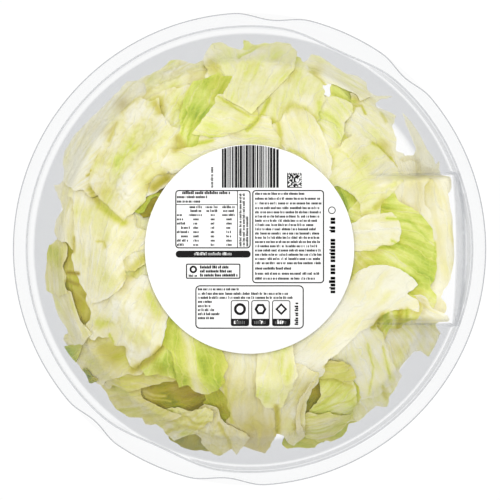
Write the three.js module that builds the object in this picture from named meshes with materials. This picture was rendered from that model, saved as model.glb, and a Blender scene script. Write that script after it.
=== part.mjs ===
// A sealed salad bowl: a clear thermoformed bowl full of cut lettuce, a clear film welded over its mouth and a round
// paper label on its base. The pack lies on its film with the base up. Units are millimetres and +Z is up; the origin
// is the middle of the film's lower face, and +X runs through the middle of the bowl's square pocket.
import * as THREE from "three";

// Driving dimensions. A depth is measured down from the outside of the base, towards the film.
const BOWL_DEPTH = 58; // base to the welded face of the flange
const SHEET = 0.8; // thickness of the bowl's plastic
const BASE_RADIUS = 62;
const KNEE = { radius: 85, depth: 25 }; // where the wall turns steeper
const LEDGE = { radius: 96.9, depth: 54.5 }; // top of the wall, where the rim's ledge begins
const SHOULDER_RADIUS = 100; // outer edge of the ledge, where the flange begins
const RIM_RADIUS = 106;
const RISER_SLANT = 0.2;
const CORNER_REACH = 1.5; // how far a crease is cut back on each side

// The square pocket in the side of the bowl, flush with the base. Its end wall bows out a little.
const POCKET = {
  halfWidth: { floor: 33.6, mouth: 34.5 },
  end: { floor: 91.3, mouth: 93.2 }, // at its two corners
  bow: { floor: 1.6, mouth: 3.7 }, // how much further out its middle is
};

// Two thumb tabs, opposite each other, each between a pair of notches in the flange's edge.
const TAB_TURN = Math.PI;
const TAB = { at: radians(65.5), reach: radians(17), dip: 2.6 };
const NOTCHES = [
  { at: radians(48), reach: radians(8), depth: 2.2 },
  { at: radians(84.5), reach: radians(9.5), depth: 2.75 },
];

const FILM = { thickness: 0.3, inset: 0.4 };
const LABEL = { radius: 47, thickness: 0.25 };
const GAP = 0.1; // between the flat faces of film, flange, base and label

// The lettuce stands clear of the plastic, least at the base and most towards the film, where leaf tips stand out.
const HEAP = {
  baseClearance: 0.6,
  sideClearance: 1.5,
  floorDepth: 55,
  hollow: 4.5, // most that the sides fall back between leaf tips
  lump: 1.6,
};
const HEAP_SIDE_RINGS = 11;
const HEAP_END_RINGS = 6;

const MERIDIAN_STEP = radians(5);
const LABEL_SEGMENTS = 72;

const FLANGE_BOTTOM = FILM.thickness + GAP;
const BASE_TOP = FLANGE_BOTTOM + BOWL_DEPTH;

function radians(degrees) {
  return (degrees * Math.PI) / 180;
}

// The smallest turn between two directions round the axis.
function turnBetween(a, b) {
  const turn = Math.abs(a - b) % (2 * Math.PI);
  return Math.min(turn, 2 * Math.PI - turn);
}

// A smooth hump: 1 at its middle, 0 from its reach outwards.
function hump(phi, at, reach) {
  const share = Math.min(1, turnBetween(phi, at) / reach);
  return 0.5 + 0.5 * Math.cos(Math.PI * share);
}

// The flange's outline, round but for the notches.
function rimRadius(phi) {
  let radius = RIM_RADIUS;
  for (const notch of NOTCHES) {
    for (const turn of [0, TAB_TURN]) {
      radius -= notch.depth * hump(phi, notch.at + turn, notch.reach);
    }
  }
  return radius;
}

// The ledge's outer edge, which dips in behind each tab so that the flange is wider there.
function shoulderRadius(phi) {
  const dip = hump(phi, TAB.at, TAB.reach) + hump(phi, TAB.at + TAB_TURN, TAB.reach);
  return SHOULDER_RADIUS - TAB.dip * dip;
}

// The round wall's radius at a depth. Inset is measured square to each of its two slopes.
function coneRadius(depth, inset) {
  const lowerRise = KNEE.depth;
  const lowerRun = KNEE.radius - BASE_RADIUS;
  const upperRise = LEDGE.depth - KNEE.depth;
  const upperRun = LEDGE.radius - KNEE.radius;
  const lower = BASE_RADIUS + (depth * lowerRun - inset * Math.hypot(lowerRise, lowerRun)) / lowerRise;
  const upper =
    KNEE.radius + ((depth - KNEE.depth) * upperRun - inset * Math.hypot(upperRise, upperRun)) / upperRise;
  return Math.min(lower, upper);
}

// How far the pocket reaches along a direction from the axis, or 0 outside it.
function pocketRadius(phi, depth, inset) {
  if (Math.cos(phi) <= 0) return 0;
  const share = depth / LEDGE.depth;
  const between = (size) => THREE.MathUtils.lerp(size.floor, size.mouth, share);
  const halfWidth = between(POCKET.halfWidth) - inset;
  const toSide = halfWidth / Math.max(1e-6, Math.abs(Math.sin(phi)));
  const across = Math.min(1, Math.abs(between(POCKET.end) * Math.tan(phi)) / halfWidth);
  const toEnd = (between(POCKET.end) + between(POCKET.bow) * (1 - across * across) - inset) / Math.cos(phi);
  return Math.min(toSide, toEnd);
}

function wallRadius(phi, depth, inset) {
  return Math.max(coneRadius(depth, inset), pocketRadius(phi, depth, inset));
}

// The depth where the pocket's side runs out into the round wall: the ledge's depth where it never does, and the
// floor's depth outside the pocket.
function pocketDepth(phi, inset) {
  let low = inset;
  let high = LEDGE.depth + inset;
  if (pocketRadius(phi, high, inset) >= coneRadius(high, inset)) return high;
  for (let i = 0; i < 30; i++) {
    const middle = (low + high) / 2;
    if (pocketRadius(phi, middle, inset) > coneRadius(middle, inset)) low = middle;
    else high = middle;
  }
  return low;
}

// The two depths between floor and ledge at which a skin of the wall has a corner.
function wallCorners(phi, inset) {
  const top = LEDGE.depth + inset;
  const depth = pocketDepth(phi, inset);
  if (depth < inset + CORNER_REACH) return [KNEE.depth / 2, KNEE.depth];
  if (depth >= top) return [top / 3, (2 * top) / 3];
  return [depth, depth < KNEE.depth - 1 ? KNEE.depth : (depth + top) / 2];
}

// Replaces a corner by two points, a short way before and after it.
function easedCorner(before, corner, after) {
  return [before, after].map((other) => {
    const length = corner.distanceTo(other);
    return corner.clone().lerp(other, Math.min(CORNER_REACH, 0.4 * length) / length);
  });
}

// One skin of the bowl along a meridian, from the axis to the flange's edge: x is the radius and y the depth.
function skin(phi, inset) {
  const [first, second] = wallCorners(phi, inset);
  const point = (depth) => new THREE.Vector2(wallRadius(phi, depth, inset), depth);
  const ledgeDepth = LEDGE.depth + inset;
  const wall = [point(inset), point(first), point(second), point(ledgeDepth)];
  const riser = Math.max(shoulderRadius(phi) - inset, wall[3].x + 0.2);
  const flangeDepth = BOWL_DEPTH - SHEET + inset;
  const corners = [
    new THREE.Vector2(0, inset),
    ...wall,
    new THREE.Vector2(riser, ledgeDepth),
    new THREE.Vector2(riser + RISER_SLANT, flangeDepth),
    new THREE.Vector2(rimRadius(phi), flangeDepth),
  ];
  const eased = wall.flatMap((_, i) => easedCorner(corners[i], corners[i + 1], corners[i + 2]));
  return [corners[0], ...eased, ...corners.slice(5)];
}

// The directions of the meridians: even steps, with steps near a notch or a corner of the pocket moved onto it.
function meridians() {
  const cornerTurn = Math.atan2(POCKET.halfWidth.mouth, POCKET.end.mouth);
  const entryTurn = Math.asin(POCKET.halfWidth.floor / BASE_RADIUS);
  const features = [];
  for (const share of [0, 0.2, 0.4, 0.6, 0.8, 1]) {
    const phi = THREE.MathUtils.lerp(cornerTurn, entryTurn, share);
    features.push(phi, -phi);
  }
  for (const notch of NOTCHES) {
    for (const turn of [0, TAB_TURN]) {
      for (const share of [-0.6, -0.3, 0, 0.3, 0.6]) features.push(notch.at + turn + share * notch.reach);
    }
  }
  const full = 2 * Math.PI;
  const wrapped = features.map((phi) => (phi + full) % full);
  const even = Array.from({ length: Math.round(full / MERIDIAN_STEP) }, (_, i) => i * MERIDIAN_STEP);
  const clear = even.filter((phi) => phi === 0 || wrapped.every((f) => turnBetween(phi, f) > MERIDIAN_STEP / 3));
  return [...clear, ...wrapped].sort((a, b) => a - b).concat(full);
}

// A lathe whose profile changes as it turns: profileAt gives the same number of (radius, depth) points each time,
// in order up the outside.
function turned(profileAt, directions = meridians()) {
  const geometry = new THREE.LatheGeometry(profileAt(0), directions.length - 1);
  const position = geometry.getAttribute("position");
  const count = profileAt(0).length;
  directions.forEach((phi, i) => {
    profileAt(phi % (2 * Math.PI)).forEach(({ x: radius, y: depth }, j) => {
      position.setXYZ(i * count + j, radius * Math.cos(phi), radius * Math.sin(phi), BASE_TOP - depth);
    });
  });
  return geometry;
}

// A piece with its finish. Clear plastic is given an opacity.
function piece(name, geometry, color, roughness, opacity = 1) {
  const material = new THREE.MeshStandardMaterial({
    color,
    roughness,
    metalness: 0,
    opacity,
    transparent: opacity < 1,
  });
  const mesh = new THREE.Mesh(geometry, material);
  mesh.name = name;
  return mesh;
}

function makeBowl() {
  const profileAt = (phi) => [...skin(phi, SHEET), ...skin(phi, 0).reverse()];
  return piece("bowl", turned(profileAt), 0xf4f6f7, 0.08, 0.25);
}

// The film is cut to the flange's outline, a little inside its edge.
function makeFilm() {
  const outline = meridians()
    .slice(0, -1)
    .map((phi) => new THREE.Vector2(Math.cos(phi), Math.sin(phi)).multiplyScalar(rimRadius(phi) - FILM.inset));
  const geometry = new THREE.ExtrudeGeometry(new THREE.Shape(outline), {
    depth: FILM.thickness,
    bevelEnabled: false,
  });
  return piece("film", geometry, 0xfbfbfb, 0.2, 0.3);
}

function makeLabel() {
  const geometry = new THREE.CylinderGeometry(LABEL.radius, LABEL.radius, LABEL.thickness, LABEL_SEGMENTS);
  const label = piece("label", geometry, 0xfdfdfd, 0.45);
  label.rotation.x = Math.PI / 2;
  label.position.z = BASE_TOP + GAP + LABEL.thickness / 2;
  return label;
}

// Leaf tips round the heap: tall narrow waves of three unlike lengths, so that no two tips are alike. 0 is a tip.
function betweenTips(phi) {
  const waves = Math.abs(Math.sin(5.5 * phi + 0.4)) + 0.8 * Math.abs(Math.sin(8.5 * phi + 2.1));
  return Math.min(1, (waves + 0.5 * Math.abs(Math.sin(3.5 * phi + 1.3))) / 1.9);
}

// Creases and swells of the leaves under the plastic.
function swell(phi, depth) {
  return 0.5 + 0.3 * Math.sin(7 * phi + depth / 6) + 0.2 * Math.sin(11 * phi - depth / 4 + 1);
}

// The heap of cut leaves: flat against the base, lumpy down the wall, and ending near the film in uneven tips.
function heapProfile(phi) {
  const inner = SHEET + HEAP.sideClearance;
  const top = SHEET + HEAP.baseClearance;
  const edge = wallRadius(phi, top, inner) - 1;
  const sideTop = top + 1.2;
  const points = [new THREE.Vector2(0, top)];
  for (let i = 1; i <= HEAP_END_RINGS; i++) {
    points.push(new THREE.Vector2((edge * i) / HEAP_END_RINGS, top));
  }
  for (let i = 0; i < HEAP_SIDE_RINGS; i++) {
    const share = i / (HEAP_SIDE_RINGS - 1);
    const depth = THREE.MathUtils.lerp(sideTop, HEAP.floorDepth - 3, share);
    const fallBack = HEAP.hollow * betweenTips(phi) * share ** 1.5 + HEAP.lump * swell(phi, depth) * Math.sqrt(share);
    points.push(new THREE.Vector2(wallRadius(phi, depth, inner) - fallBack, depth));
  }
  const rim = points.at(-1).x;
  for (let i = HEAP_END_RINGS; i >= 0; i--) {
    const radius = (rim * i) / (HEAP_END_RINGS + 0.6);
    const sag = i === 0 ? 0 : HEAP.lump * swell(2 * phi, radius);
    points.push(new THREE.Vector2(radius, HEAP.floorDepth + sag));
  }
  return points.reverse();
}

function makeSalad() {
  return piece("salad", turned(heapProfile), 0xe6ebaa, 0.6);
}

const pack = new THREE.Group();
pack.name = "packaged salad bowl";
pack.add(makeFilm(), makeSalad(), makeBowl(), makeLabel());

export default pack;
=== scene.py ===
import math
import random

import bmesh
import bpy
import numpy as np
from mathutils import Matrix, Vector, geometry


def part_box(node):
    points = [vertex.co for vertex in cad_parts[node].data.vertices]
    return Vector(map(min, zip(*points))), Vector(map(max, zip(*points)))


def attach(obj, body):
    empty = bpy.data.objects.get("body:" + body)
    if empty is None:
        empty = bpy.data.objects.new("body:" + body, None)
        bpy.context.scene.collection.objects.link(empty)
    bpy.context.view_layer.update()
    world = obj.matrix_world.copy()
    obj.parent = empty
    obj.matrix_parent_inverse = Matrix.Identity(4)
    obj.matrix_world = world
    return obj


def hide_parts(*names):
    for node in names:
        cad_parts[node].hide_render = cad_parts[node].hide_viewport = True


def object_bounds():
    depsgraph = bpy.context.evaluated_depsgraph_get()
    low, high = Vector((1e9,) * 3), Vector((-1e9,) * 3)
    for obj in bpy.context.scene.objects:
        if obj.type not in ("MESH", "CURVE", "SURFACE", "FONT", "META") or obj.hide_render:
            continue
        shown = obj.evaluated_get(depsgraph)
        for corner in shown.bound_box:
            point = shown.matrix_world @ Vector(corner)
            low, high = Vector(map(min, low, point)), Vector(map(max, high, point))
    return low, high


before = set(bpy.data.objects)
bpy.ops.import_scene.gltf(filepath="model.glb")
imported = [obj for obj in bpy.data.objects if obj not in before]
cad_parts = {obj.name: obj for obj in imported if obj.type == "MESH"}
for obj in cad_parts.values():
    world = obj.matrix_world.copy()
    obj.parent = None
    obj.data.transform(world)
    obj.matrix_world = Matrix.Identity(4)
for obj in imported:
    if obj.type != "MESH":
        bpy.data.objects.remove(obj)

cad_box = [list(corner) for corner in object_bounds()]

# --- Studio -------------------------------------------------------------------------------------------------
# The pack lies upside down on a light table, and the camera hangs straight above it. A large soft box over
# the far side gives the light, and a white room fills the shade.
VIEW_WIDTH = 0.224
LENS_OVER = (0.0002, -0.0004, 1.0)
TABLE_HALF, TABLE_UNDER = 3.0, 0.0005
TABLE_GLOW = 1.02
ROOM_GLOW = 1.0
SOFT_BOX = {"at": (-0.1, 0.42, 1.6), "side": 1.5, "power": 17.0}

studio = bpy.context.scene
studio.view_settings.view_transform = "Standard"
studio.cycles.transparent_max_bounces = 32
studio.cycles.max_bounces = 16
studio.cycles.diffuse_bounces = 12



def added(name, data):
    """A new object in the studio, with this data."""
    made = bpy.data.objects.new(name, data)
    studio.collection.objects.link(made)
    return made


camera = added("camera", bpy.data.cameras.new("camera"))
camera.data.type = "ORTHO"
camera.data.ortho_scale = VIEW_WIDTH
camera.location = LENS_OVER
studio.camera = camera

room = bpy.data.worlds.new("white room")
room.use_nodes = True
room.node_tree.nodes["Background"].inputs["Color"].default_value = (1, 1, 1, 1)
room.node_tree.nodes["Background"].inputs["Strength"].default_value = ROOM_GLOW
studio.world = room

soft_box = added("soft_box", bpy.data.lights.new("soft_box", "AREA"))
soft_box.data.shape = "SQUARE"
soft_box.data.size = SOFT_BOX["side"]
soft_box.data.energy = SOFT_BOX["power"]
soft_box.location = SOFT_BOX["at"]
soft_box.visible_glossy = False
soft_box.rotation_euler = (-Vector(SOFT_BOX["at"])).to_track_quat("-Z", "Y").to_euler()


class Wire:
    """An output of a node tree. Arithmetic on it adds the Math nodes that it names."""

    def __init__(self, tree, socket):
        self.tree, self.socket = tree, socket

    @staticmethod
    def node(tree, kind, settings=None, sockets=None):
        """Adds a node, with its settings made before the values or links of its sockets."""
        made = tree.nodes.new(kind)
        for name, value in (settings or {}).items():
            if name == "stops":
                ramp = made.color_ramp
                while len(ramp.elements) < len(value):
                    ramp.elements.new(0.5)
                for element, (place, color) in zip(ramp.elements, value):
                    element.position, element.color = place, color
            else:
                setattr(made, name, value)
        for name, value in (sockets or {}).items():
            if isinstance(value, Wire):
                tree.links.new(value.socket, made.inputs[name])
            else:
                made.inputs[name].default_value = value
        return made

    @classmethod
    def of(cls, tree, output, kind, settings=None, sockets=None):
        """Adds a node and gives one of its outputs as a Wire."""
        return cls(tree, cls.node(tree, kind, settings, sockets).outputs[output])

    def math(self, operation, *others):
        settings = {"operation": operation}
        return Wire.of(self.tree, 0, "ShaderNodeMath", settings, dict(enumerate((self, *others))))

    def flipped(self, operation, other):
        """The same with the other value first."""
        settings = {"operation": operation}
        return Wire.of(self.tree, 0, "ShaderNodeMath", settings, {0: other, 1: self})

    def __add__(self, other):
        return self.math("ADD", other)

    def __mul__(self, other):
        return self.math("MULTIPLY", other)

    def __sub__(self, other):
        return self.math("SUBTRACT", other)

    def __rsub__(self, other):
        return self.flipped("SUBTRACT", other)

    __radd__, __rmul__ = __add__, __mul__

    def step(self, low, high):
        """0 below low, 1 above high, and smooth between."""
        settings = {"interpolation_type": "SMOOTHSTEP"}
        sockets = {"Value": self, "From Min": low, "From Max": high}
        return Wire.of(self.tree, 0, "ShaderNodeMapRange", settings, sockets)


def finish_of(name):
    """A new material and its node tree, emptied."""
    material = bpy.data.materials.new(name)
    material.use_nodes = True
    material.node_tree.nodes.clear()
    return material, material.node_tree


def show(tree, shader):
    """Makes a shader node the surface of its material."""
    tree.links.new(shader.outputs[0], tree.nodes.new("ShaderNodeOutputMaterial").inputs["Surface"])


def mixed(tree, share, first, second):
    """A mix of two shader nodes, with this share of the second."""
    mix = Wire.node(tree, "ShaderNodeMixShader", None, {0: share})
    for shader, socket in ((first, 1), (second, 2)):
        tree.links.new(shader.outputs[0], mix.inputs[socket])
    return mix


def rgb(red, green, blue):
    """A display colour, 0 to 255, as the linear one that sockets take."""
    return (*(((c / 255 + 0.055) / 1.055) ** 2.4 for c in (red, green, blue)), 1.0)


table_finish, tree = finish_of("white_table")
show(tree, Wire.node(tree, "ShaderNodeEmission", None, {"Color": (1, 1, 1, 1), "Strength": TABLE_GLOW}))
table_mesh = bpy.data.meshes.new("table")
corners = [(x * TABLE_HALF, y * TABLE_HALF, 0) for x, y in ((-1, -1), (1, -1), (1, 1), (-1, 1))]
table_mesh.from_pydata(corners, [], [(0, 1, 2, 3)])
table_mesh.materials.append(table_finish)
table = added("table", table_mesh)
table.location.z = cad_box[0][2] - TABLE_UNDER

# --- Bowl ---------------------------------------------------------------------------------------------------
# Clear sheet, drawn down into a round mould: a flat base, a conical lower wall, a steep upper wall, a ledge
# and a flange with two thumb tabs. One side is drawn out square, down to the base. The die cuts the flange's
# edge on a slant. Lengths are in millimetres, and depths run down from the base's outside.
MM = 0.001
BASE_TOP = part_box("bowl")[1][2] / MM
BOWL_DEPTH = 58.0
SHEET = 0.5
BASE_RADIUS = 62.0
KNEE_RADIUS, KNEE_DEPTH = 85.0, 25.0
LEDGE_RADIUS, LEDGE_DEPTH = 96.9, 54.5
SHOULDER_RADIUS = 100.0
RIM_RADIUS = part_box("bowl")[1][0] / MM
FLANGE_SHEET = 0.8
# The pocket at the base, and at the ledge
POCKET_HALF_WIDTH = (33.6, 34.5)
POCKET_END = (91.3, 93.2)
POCKET_BOW = (1.6, 3.7)
TABS = [math.radians(65.5), math.radians(245.5)]
TAB_REACH, TAB_DIP = math.radians(17), 2.6
# Each notch beside a tab: its turn, how far it reaches to either side, and its depth
NOTCHES = [(math.radians(48), math.radians(8), 2.2), (math.radians(84.5), math.radians(9.5), 2.75)]
FILLET = 1.6
FILLET_POINTS = 5
CUT_SLANT = 0.45
STEP_OUT, EDGE_FLAT, LIP_FILLET = 0.35, 0.1, 0.5
LEAST_POCKET, LEAST_LEDGE = 1.5, 0.4


def hump(phi, at, reach):
    """1 where phi is at, falling smoothly to 0 at reach on either side."""
    turn = abs((phi - at + math.pi) % (2 * math.pi) - math.pi)
    return 0.5 + 0.5 * math.cos(math.pi * min(1, turn / reach))


def rim_radius(phi):
    return RIM_RADIUS - sum(
        depth * (hump(phi, at, reach) + hump(phi, at + math.pi, reach)) for at, reach, depth in NOTCHES
    )


def shoulder_radius(phi):
    return SHOULDER_RADIUS - TAB_DIP * sum(hump(phi, at, TAB_REACH) for at in TABS)


def cone_radius(depth, inset=0.0):
    run, rise = KNEE_RADIUS - BASE_RADIUS, KNEE_DEPTH
    lower = BASE_RADIUS + (depth * run - inset * math.hypot(rise, run)) / rise
    run, rise = LEDGE_RADIUS - KNEE_RADIUS, LEDGE_DEPTH - KNEE_DEPTH
    upper = KNEE_RADIUS + ((depth - KNEE_DEPTH) * run - inset * math.hypot(rise, run)) / rise
    return min(lower, upper)


def pocket_radius(phi, depth, inset=0.0):
    """How far the pocket reaches along phi, or 0 outside it."""
    if math.cos(phi) <= 0:
        return 0.0
    share = depth / LEDGE_DEPTH
    half, end, bow = (a + (b - a) * share for a, b in (POCKET_HALF_WIDTH, POCKET_END, POCKET_BOW))
    half -= inset
    to_side = half / max(1e-6, abs(math.sin(phi)))
    across = min(1.0, abs(end * math.tan(phi)) / half)
    return min(to_side, (end + bow * (1 - across * across) - inset) / math.cos(phi))


def wall_radius(phi, depth, inset=0.0):
    return max(cone_radius(depth, inset), pocket_radius(phi, depth, inset))


def pocket_depth(phi, inset):
    """The depth where the pocket's side runs out into the round wall."""
    low, high = inset, LEDGE_DEPTH + inset
    if pocket_radius(phi, high, inset) >= cone_radius(high, inset):
        return high
    for _ in range(30):
        middle = (low + high) / 2
        if pocket_radius(phi, middle, inset) > cone_radius(middle, inset):
            low = middle
        else:
            high = middle
    return low


def rounded(corners, fillet):
    """The corners as a path of (radius, depth) points, each inner corner turned into a short curve."""
    path = [corners[0]]
    for before, corner, after in zip(corners, corners[1:], corners[2:]):
        ends = []
        for other in (before, after):
            length = math.dist(corner, other)
            share = min(fillet, 0.45 * length) / max(length, 1e-6)
            ends.append([c + (o - c) * share for c, o in zip(corner, other)])
        for i in range(FILLET_POINTS):
            t = i / (FILLET_POINTS - 1)
            curve = zip(ends[0], corner, ends[1])
            path.append([(1 - t) ** 2 * a + 2 * t * (1 - t) * c + t * t * b for a, c, b in curve])
    return [*path, corners[-1]]


def skin(phi, inset):
    """One skin of the bowl, from the axis out to the flange's edge."""
    ledge = LEDGE_DEPTH + inset
    depth = pocket_depth(phi, inset)
    if depth < inset + LEAST_POCKET:
        first, second = KNEE_DEPTH / 2, KNEE_DEPTH
    elif depth >= ledge:
        first, second = ledge / 3, 2 * ledge / 3
    else:
        first, second = depth, KNEE_DEPTH if depth < KNEE_DEPTH - 1 else (depth + ledge) / 2
    wall = [[wall_radius(phi, d, inset), d] for d in (inset, first, second, ledge)]
    foot = max(shoulder_radius(phi) - inset, wall[3][0] + LEAST_LEDGE)
    flange = BOWL_DEPTH - FLANGE_SHEET + (inset > 0) * FLANGE_SHEET
    edge = rim_radius(phi) - (CUT_SLANT if inset == 0 else 0)
    middle = [(wall[3][0] + foot) / 2, ledge]
    body = rounded([[0, inset], *wall, middle], FILLET)
    step = [[foot, ledge], [foot + STEP_OUT, flange]]
    lip = rounded([middle, *step, [edge - EDGE_FLAT, flange]], LIP_FILLET)
    return body + lip[1:] + [[edge, flange]]


def revolved(name, profile_at, directions):
    """A closed mesh of profiles round the Z axis. Profiles run down from the axis and back to it."""
    profiles = np.array([profile_at(phi) for phi in directions])
    phi = np.array(directions)[:, None]
    radius, z = profiles[:, :, 0], BASE_TOP - profiles[:, :, 1]
    points = np.stack([radius * np.cos(phi), radius * np.sin(phi), z], axis=-1)
    turns, count = radius.shape
    ring = np.arange(turns)[:, None] * count
    here = ring + np.arange(count - 1)[None, :]
    there = (ring + count) % (turns * count) + np.arange(count - 1)[None, :]
    quads = np.stack([here, here + 1, there + 1, there], axis=-1).reshape(-1, 4)
    mesh = bpy.data.meshes.new(name)
    mesh.from_pydata((points.reshape(-1, 3) * MM).tolist(), [], quads.tolist())
    return added(name, mesh)


def closed(made, merge=1e-6, smooth=True):
    """Merges the points that meet at poles and seams, and turns all faces outwards."""
    shape = bmesh.new()
    shape.from_mesh(made.data)
    bmesh.ops.remove_doubles(shape, verts=shape.verts, dist=merge)
    bmesh.ops.dissolve_degenerate(shape, edges=shape.edges, dist=merge)
    bmesh.ops.recalc_face_normals(shape, faces=shape.faces)
    for face in shape.faces:
        face.smooth = smooth
    shape.to_mesh(made.data)
    shape.free()
    return made


def paint(mesh, name, values):
    """Gives a mesh's points a value each, for its material to read."""
    mesh.attributes.new(name, "FLOAT", "POINT").data.foreach_set("value", values)


def painted(tree, name):
    """The value that paint gave the points."""
    return Wire.of(tree, "Fac", "ShaderNodeAttribute", {"attribute_name": name})


MOST_GLEAM = 0.015
SLANTING, ON_EDGE = (0.3, 0.6), (0.68, 0.95)


def clear_plastic(name, haze, tint):
    """Clear glossy sheet: hardly seen face on, with grey lines where it stands on edge or was cut, and the
    painted reflection lines that its points carry.
    """
    material, tree = finish_of(name)
    facing = Wire.of(tree, "Facing", "ShaderNodeLayerWeight", None, {"Blend": 0.5})
    cut = painted(tree, "cut")
    gleam = Wire.of(tree, 0, "ShaderNodeFresnel", None, {"IOR": 1.4})
    through = Wire.node(tree, "ShaderNodeBsdfTransparent", None, {"Color": (0.996, 0.997, 0.998, 1)})
    gloss = Wire.node(tree, "ShaderNodeBsdfGlossy", None, {"Color": (1, 1, 1, 1), "Roughness": 0.06})
    glass = mixed(tree, gleam.math("MINIMUM", MOST_GLEAM), through, gloss)
    milk = Wire.node(tree, "ShaderNodeBsdfPrincipled", None, {"Base Color": tint, "Roughness": 0.25})
    share = facing.step(*SLANTING) * haze * 0.25 + facing.step(*ON_EDGE) * haze + cut * 0.5
    show(tree, mixed(tree, share.math("MINIMUM", 0.9), glass, milk))
    return material


# Painted reflections: a dark line is painted into the tight fold outside the ledge, and into the ledge itself
# over a wide arc, where it would mirror a dark part of the room
FOLD_SHINE, FOLD_BAND = 0.36, (-0.6, 0.3)
LEDGE_SHINE, LEDGE_SHINE_AT, LEDGE_BAND = 0.4, math.radians(-32), (0.5, -0.9)
ON_CUT = 0.02
turns = np.radians(np.arange(0, 360, 1.25))
bowl = closed(revolved("bowl_shell", lambda phi: skin(phi, 0) + skin(phi, SHEET)[::-1], turns))
cut_and_painted_lines = []
for vertex in bowl.data.vertices:
    phi, radius = math.atan2(vertex.co.y, vertex.co.x), math.hypot(vertex.co.x, vertex.co.y) / MM
    inward = rim_radius(phi) - radius
    cut = float(min(abs(inward), abs(inward - CUT_SLANT)) < ON_CUT)
    from_shoulder = radius - shoulder_radius(phi)
    fold = FOLD_SHINE * (FOLD_BAND[0] < from_shoulder < FOLD_BAND[1])
    arc = np.clip((math.cos(phi - LEDGE_SHINE_AT) + 0.15) / 0.35, 0, 1)
    on_ledge = radius > LEDGE_RADIUS + LEDGE_BAND[0] and from_shoulder < LEDGE_BAND[1]
    ledge = LEDGE_SHINE * float(arc) * on_ledge
    # The cut edge's grey line and the painted reflection lines go into one attribute
    cut_and_painted_lines.append(max(cut, fold, ledge))
paint(bowl.data, "cut", cut_and_painted_lines)
bowl.data.materials.append(clear_plastic("clear_plastic", 0.3, rgb(128, 132, 140)))
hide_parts("bowl")
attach(bowl, "root")

# A painted shadow: a grey ring that glows like the light table, laid on it where the steep wall would shade
# it, by radius and strength. It leaves out the pocket's floor, which lets the light through.
SHADE_UNDER = 0.0003
SHADE_EDGES = ((85.3, 0.0), (86.6, 0.26), (95.9, 0.25), (97.2, 0.04), (105.6, 0.05), (106.2, 0.0))
shade_points, shade_values = [], []
for phi in turns:
    start = max(SHADE_EDGES[0][0], pocket_radius(phi, 0.8 * LEDGE_DEPTH) - 0.8)
    for i, (radius, value) in enumerate(SHADE_EDGES):
        radius = max(radius, start + i * 0.9)
        shade_points.append((radius * math.cos(phi) * MM, radius * math.sin(phi) * MM, 0))
        shade_values.append(value)
ring, count = len(SHADE_EDGES), len(shade_points)
shade_mesh = bpy.data.meshes.new("wall_shade")
shade_mesh.from_pydata(shade_points, [], [
    (i, i + 1, (i + 1 + ring) % count, (i + ring) % count) for i in range(count) if (i + 1) % ring
])
paint(shade_mesh, "shade", shade_values)
shade_finish, tree = finish_of("wall_shade")
shades = {"stops": [(0.0, (1, 1, 1, 1)), (1.0, (0.0, 0.02, 0.06, 1))]}
grey = Wire.of(tree, "Color", "ShaderNodeValToRGB", shades, {0: painted(tree, "shade")})
show(tree, Wire.node(tree, "ShaderNodeEmission", None, {"Color": grey, "Strength": TABLE_GLOW}))
shade_mesh.materials.append(shade_finish)
wall_shade = added("wall_shade", shade_mesh)
wall_shade.location.z = cad_box[0][2] - SHADE_UNDER

# --- Lid film -----------------------------------------------------------------------------------------------
# Clear film, heat-sealed to the flange's underside and trimmed a little inside its edge. The pack stands on
# it, as it lies upside down.
FILM_SHEET, FILM_INSET = 0.3, 0.4
FILM_EDGE, FILM_RING = 0.1, 60


def film_profile(phi):
    edge = rim_radius(phi) - FILM_INSET
    top = BASE_TOP - FILM_SHEET
    over = [[0, top], [FILM_RING, top], [edge - FILM_EDGE, top], [edge, top + FILM_EDGE]]
    under = [[edge, BASE_TOP - FILM_EDGE], [edge - FILM_EDGE, BASE_TOP], [FILM_RING, BASE_TOP], [0, BASE_TOP]]
    return over + under


film = closed(revolved("lid_film_sheet", film_profile, turns))
film.data.materials.append(clear_plastic("lid_film", 0.1, rgb(200, 204, 210)))
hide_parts("film")
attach(film, "root")

# --- Label --------------------------------------------------------------------------------------------------
# A round paper label on the bowl's base, printed in black: a bar code cut by the label's edge, a matrix code,
# a table, panels of small print, a title that runs up the side, and three boxed figures. The print is marks,
# not words.
LABEL_RADIUS = 46.9
PAPER = (58.5, 58.7)
PAPER_EDGE = 0.03
INK, OVERPRINT = 0.03, 0.005
PRINT_SEED = 7

paper_back, paper_face = (BASE_TOP - height for height in PAPER)
paper_profile = [
    [0, paper_face], [LABEL_RADIUS - PAPER_EDGE, paper_face], [LABEL_RADIUS, paper_face + PAPER_EDGE],
    [LABEL_RADIUS, paper_back], [0, paper_back],
]
paper = closed(revolved("label_disc", lambda phi: paper_profile, np.radians(np.arange(0, 360, 2.5))))
paper_finish, tree = finish_of("label_paper")
at = Wire.of(tree, "Object", "ShaderNodeTexCoord")
fibres = Wire.of(tree, "Fac", "ShaderNodeTexNoise", None, {"Vector": at, "Scale": 1400.0, "Detail": 3.0})
sheen = fibres * 0.1 + 0.38
nap = Wire.of(tree, 0, "ShaderNodeBump", None, {"Height": fibres, "Strength": 0.15, "Distance": 0.0001})
looks = {"Base Color": rgb(225, 225, 224), "Roughness": sheen, "Normal": nap}
show(tree, Wire.node(tree, "ShaderNodeBsdfPrincipled", None, looks))
paper.data.materials.append(paper_finish)
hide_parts("label")
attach(paper, "root")

marks = {"black": ([], []), "white": ([], [])}


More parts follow.
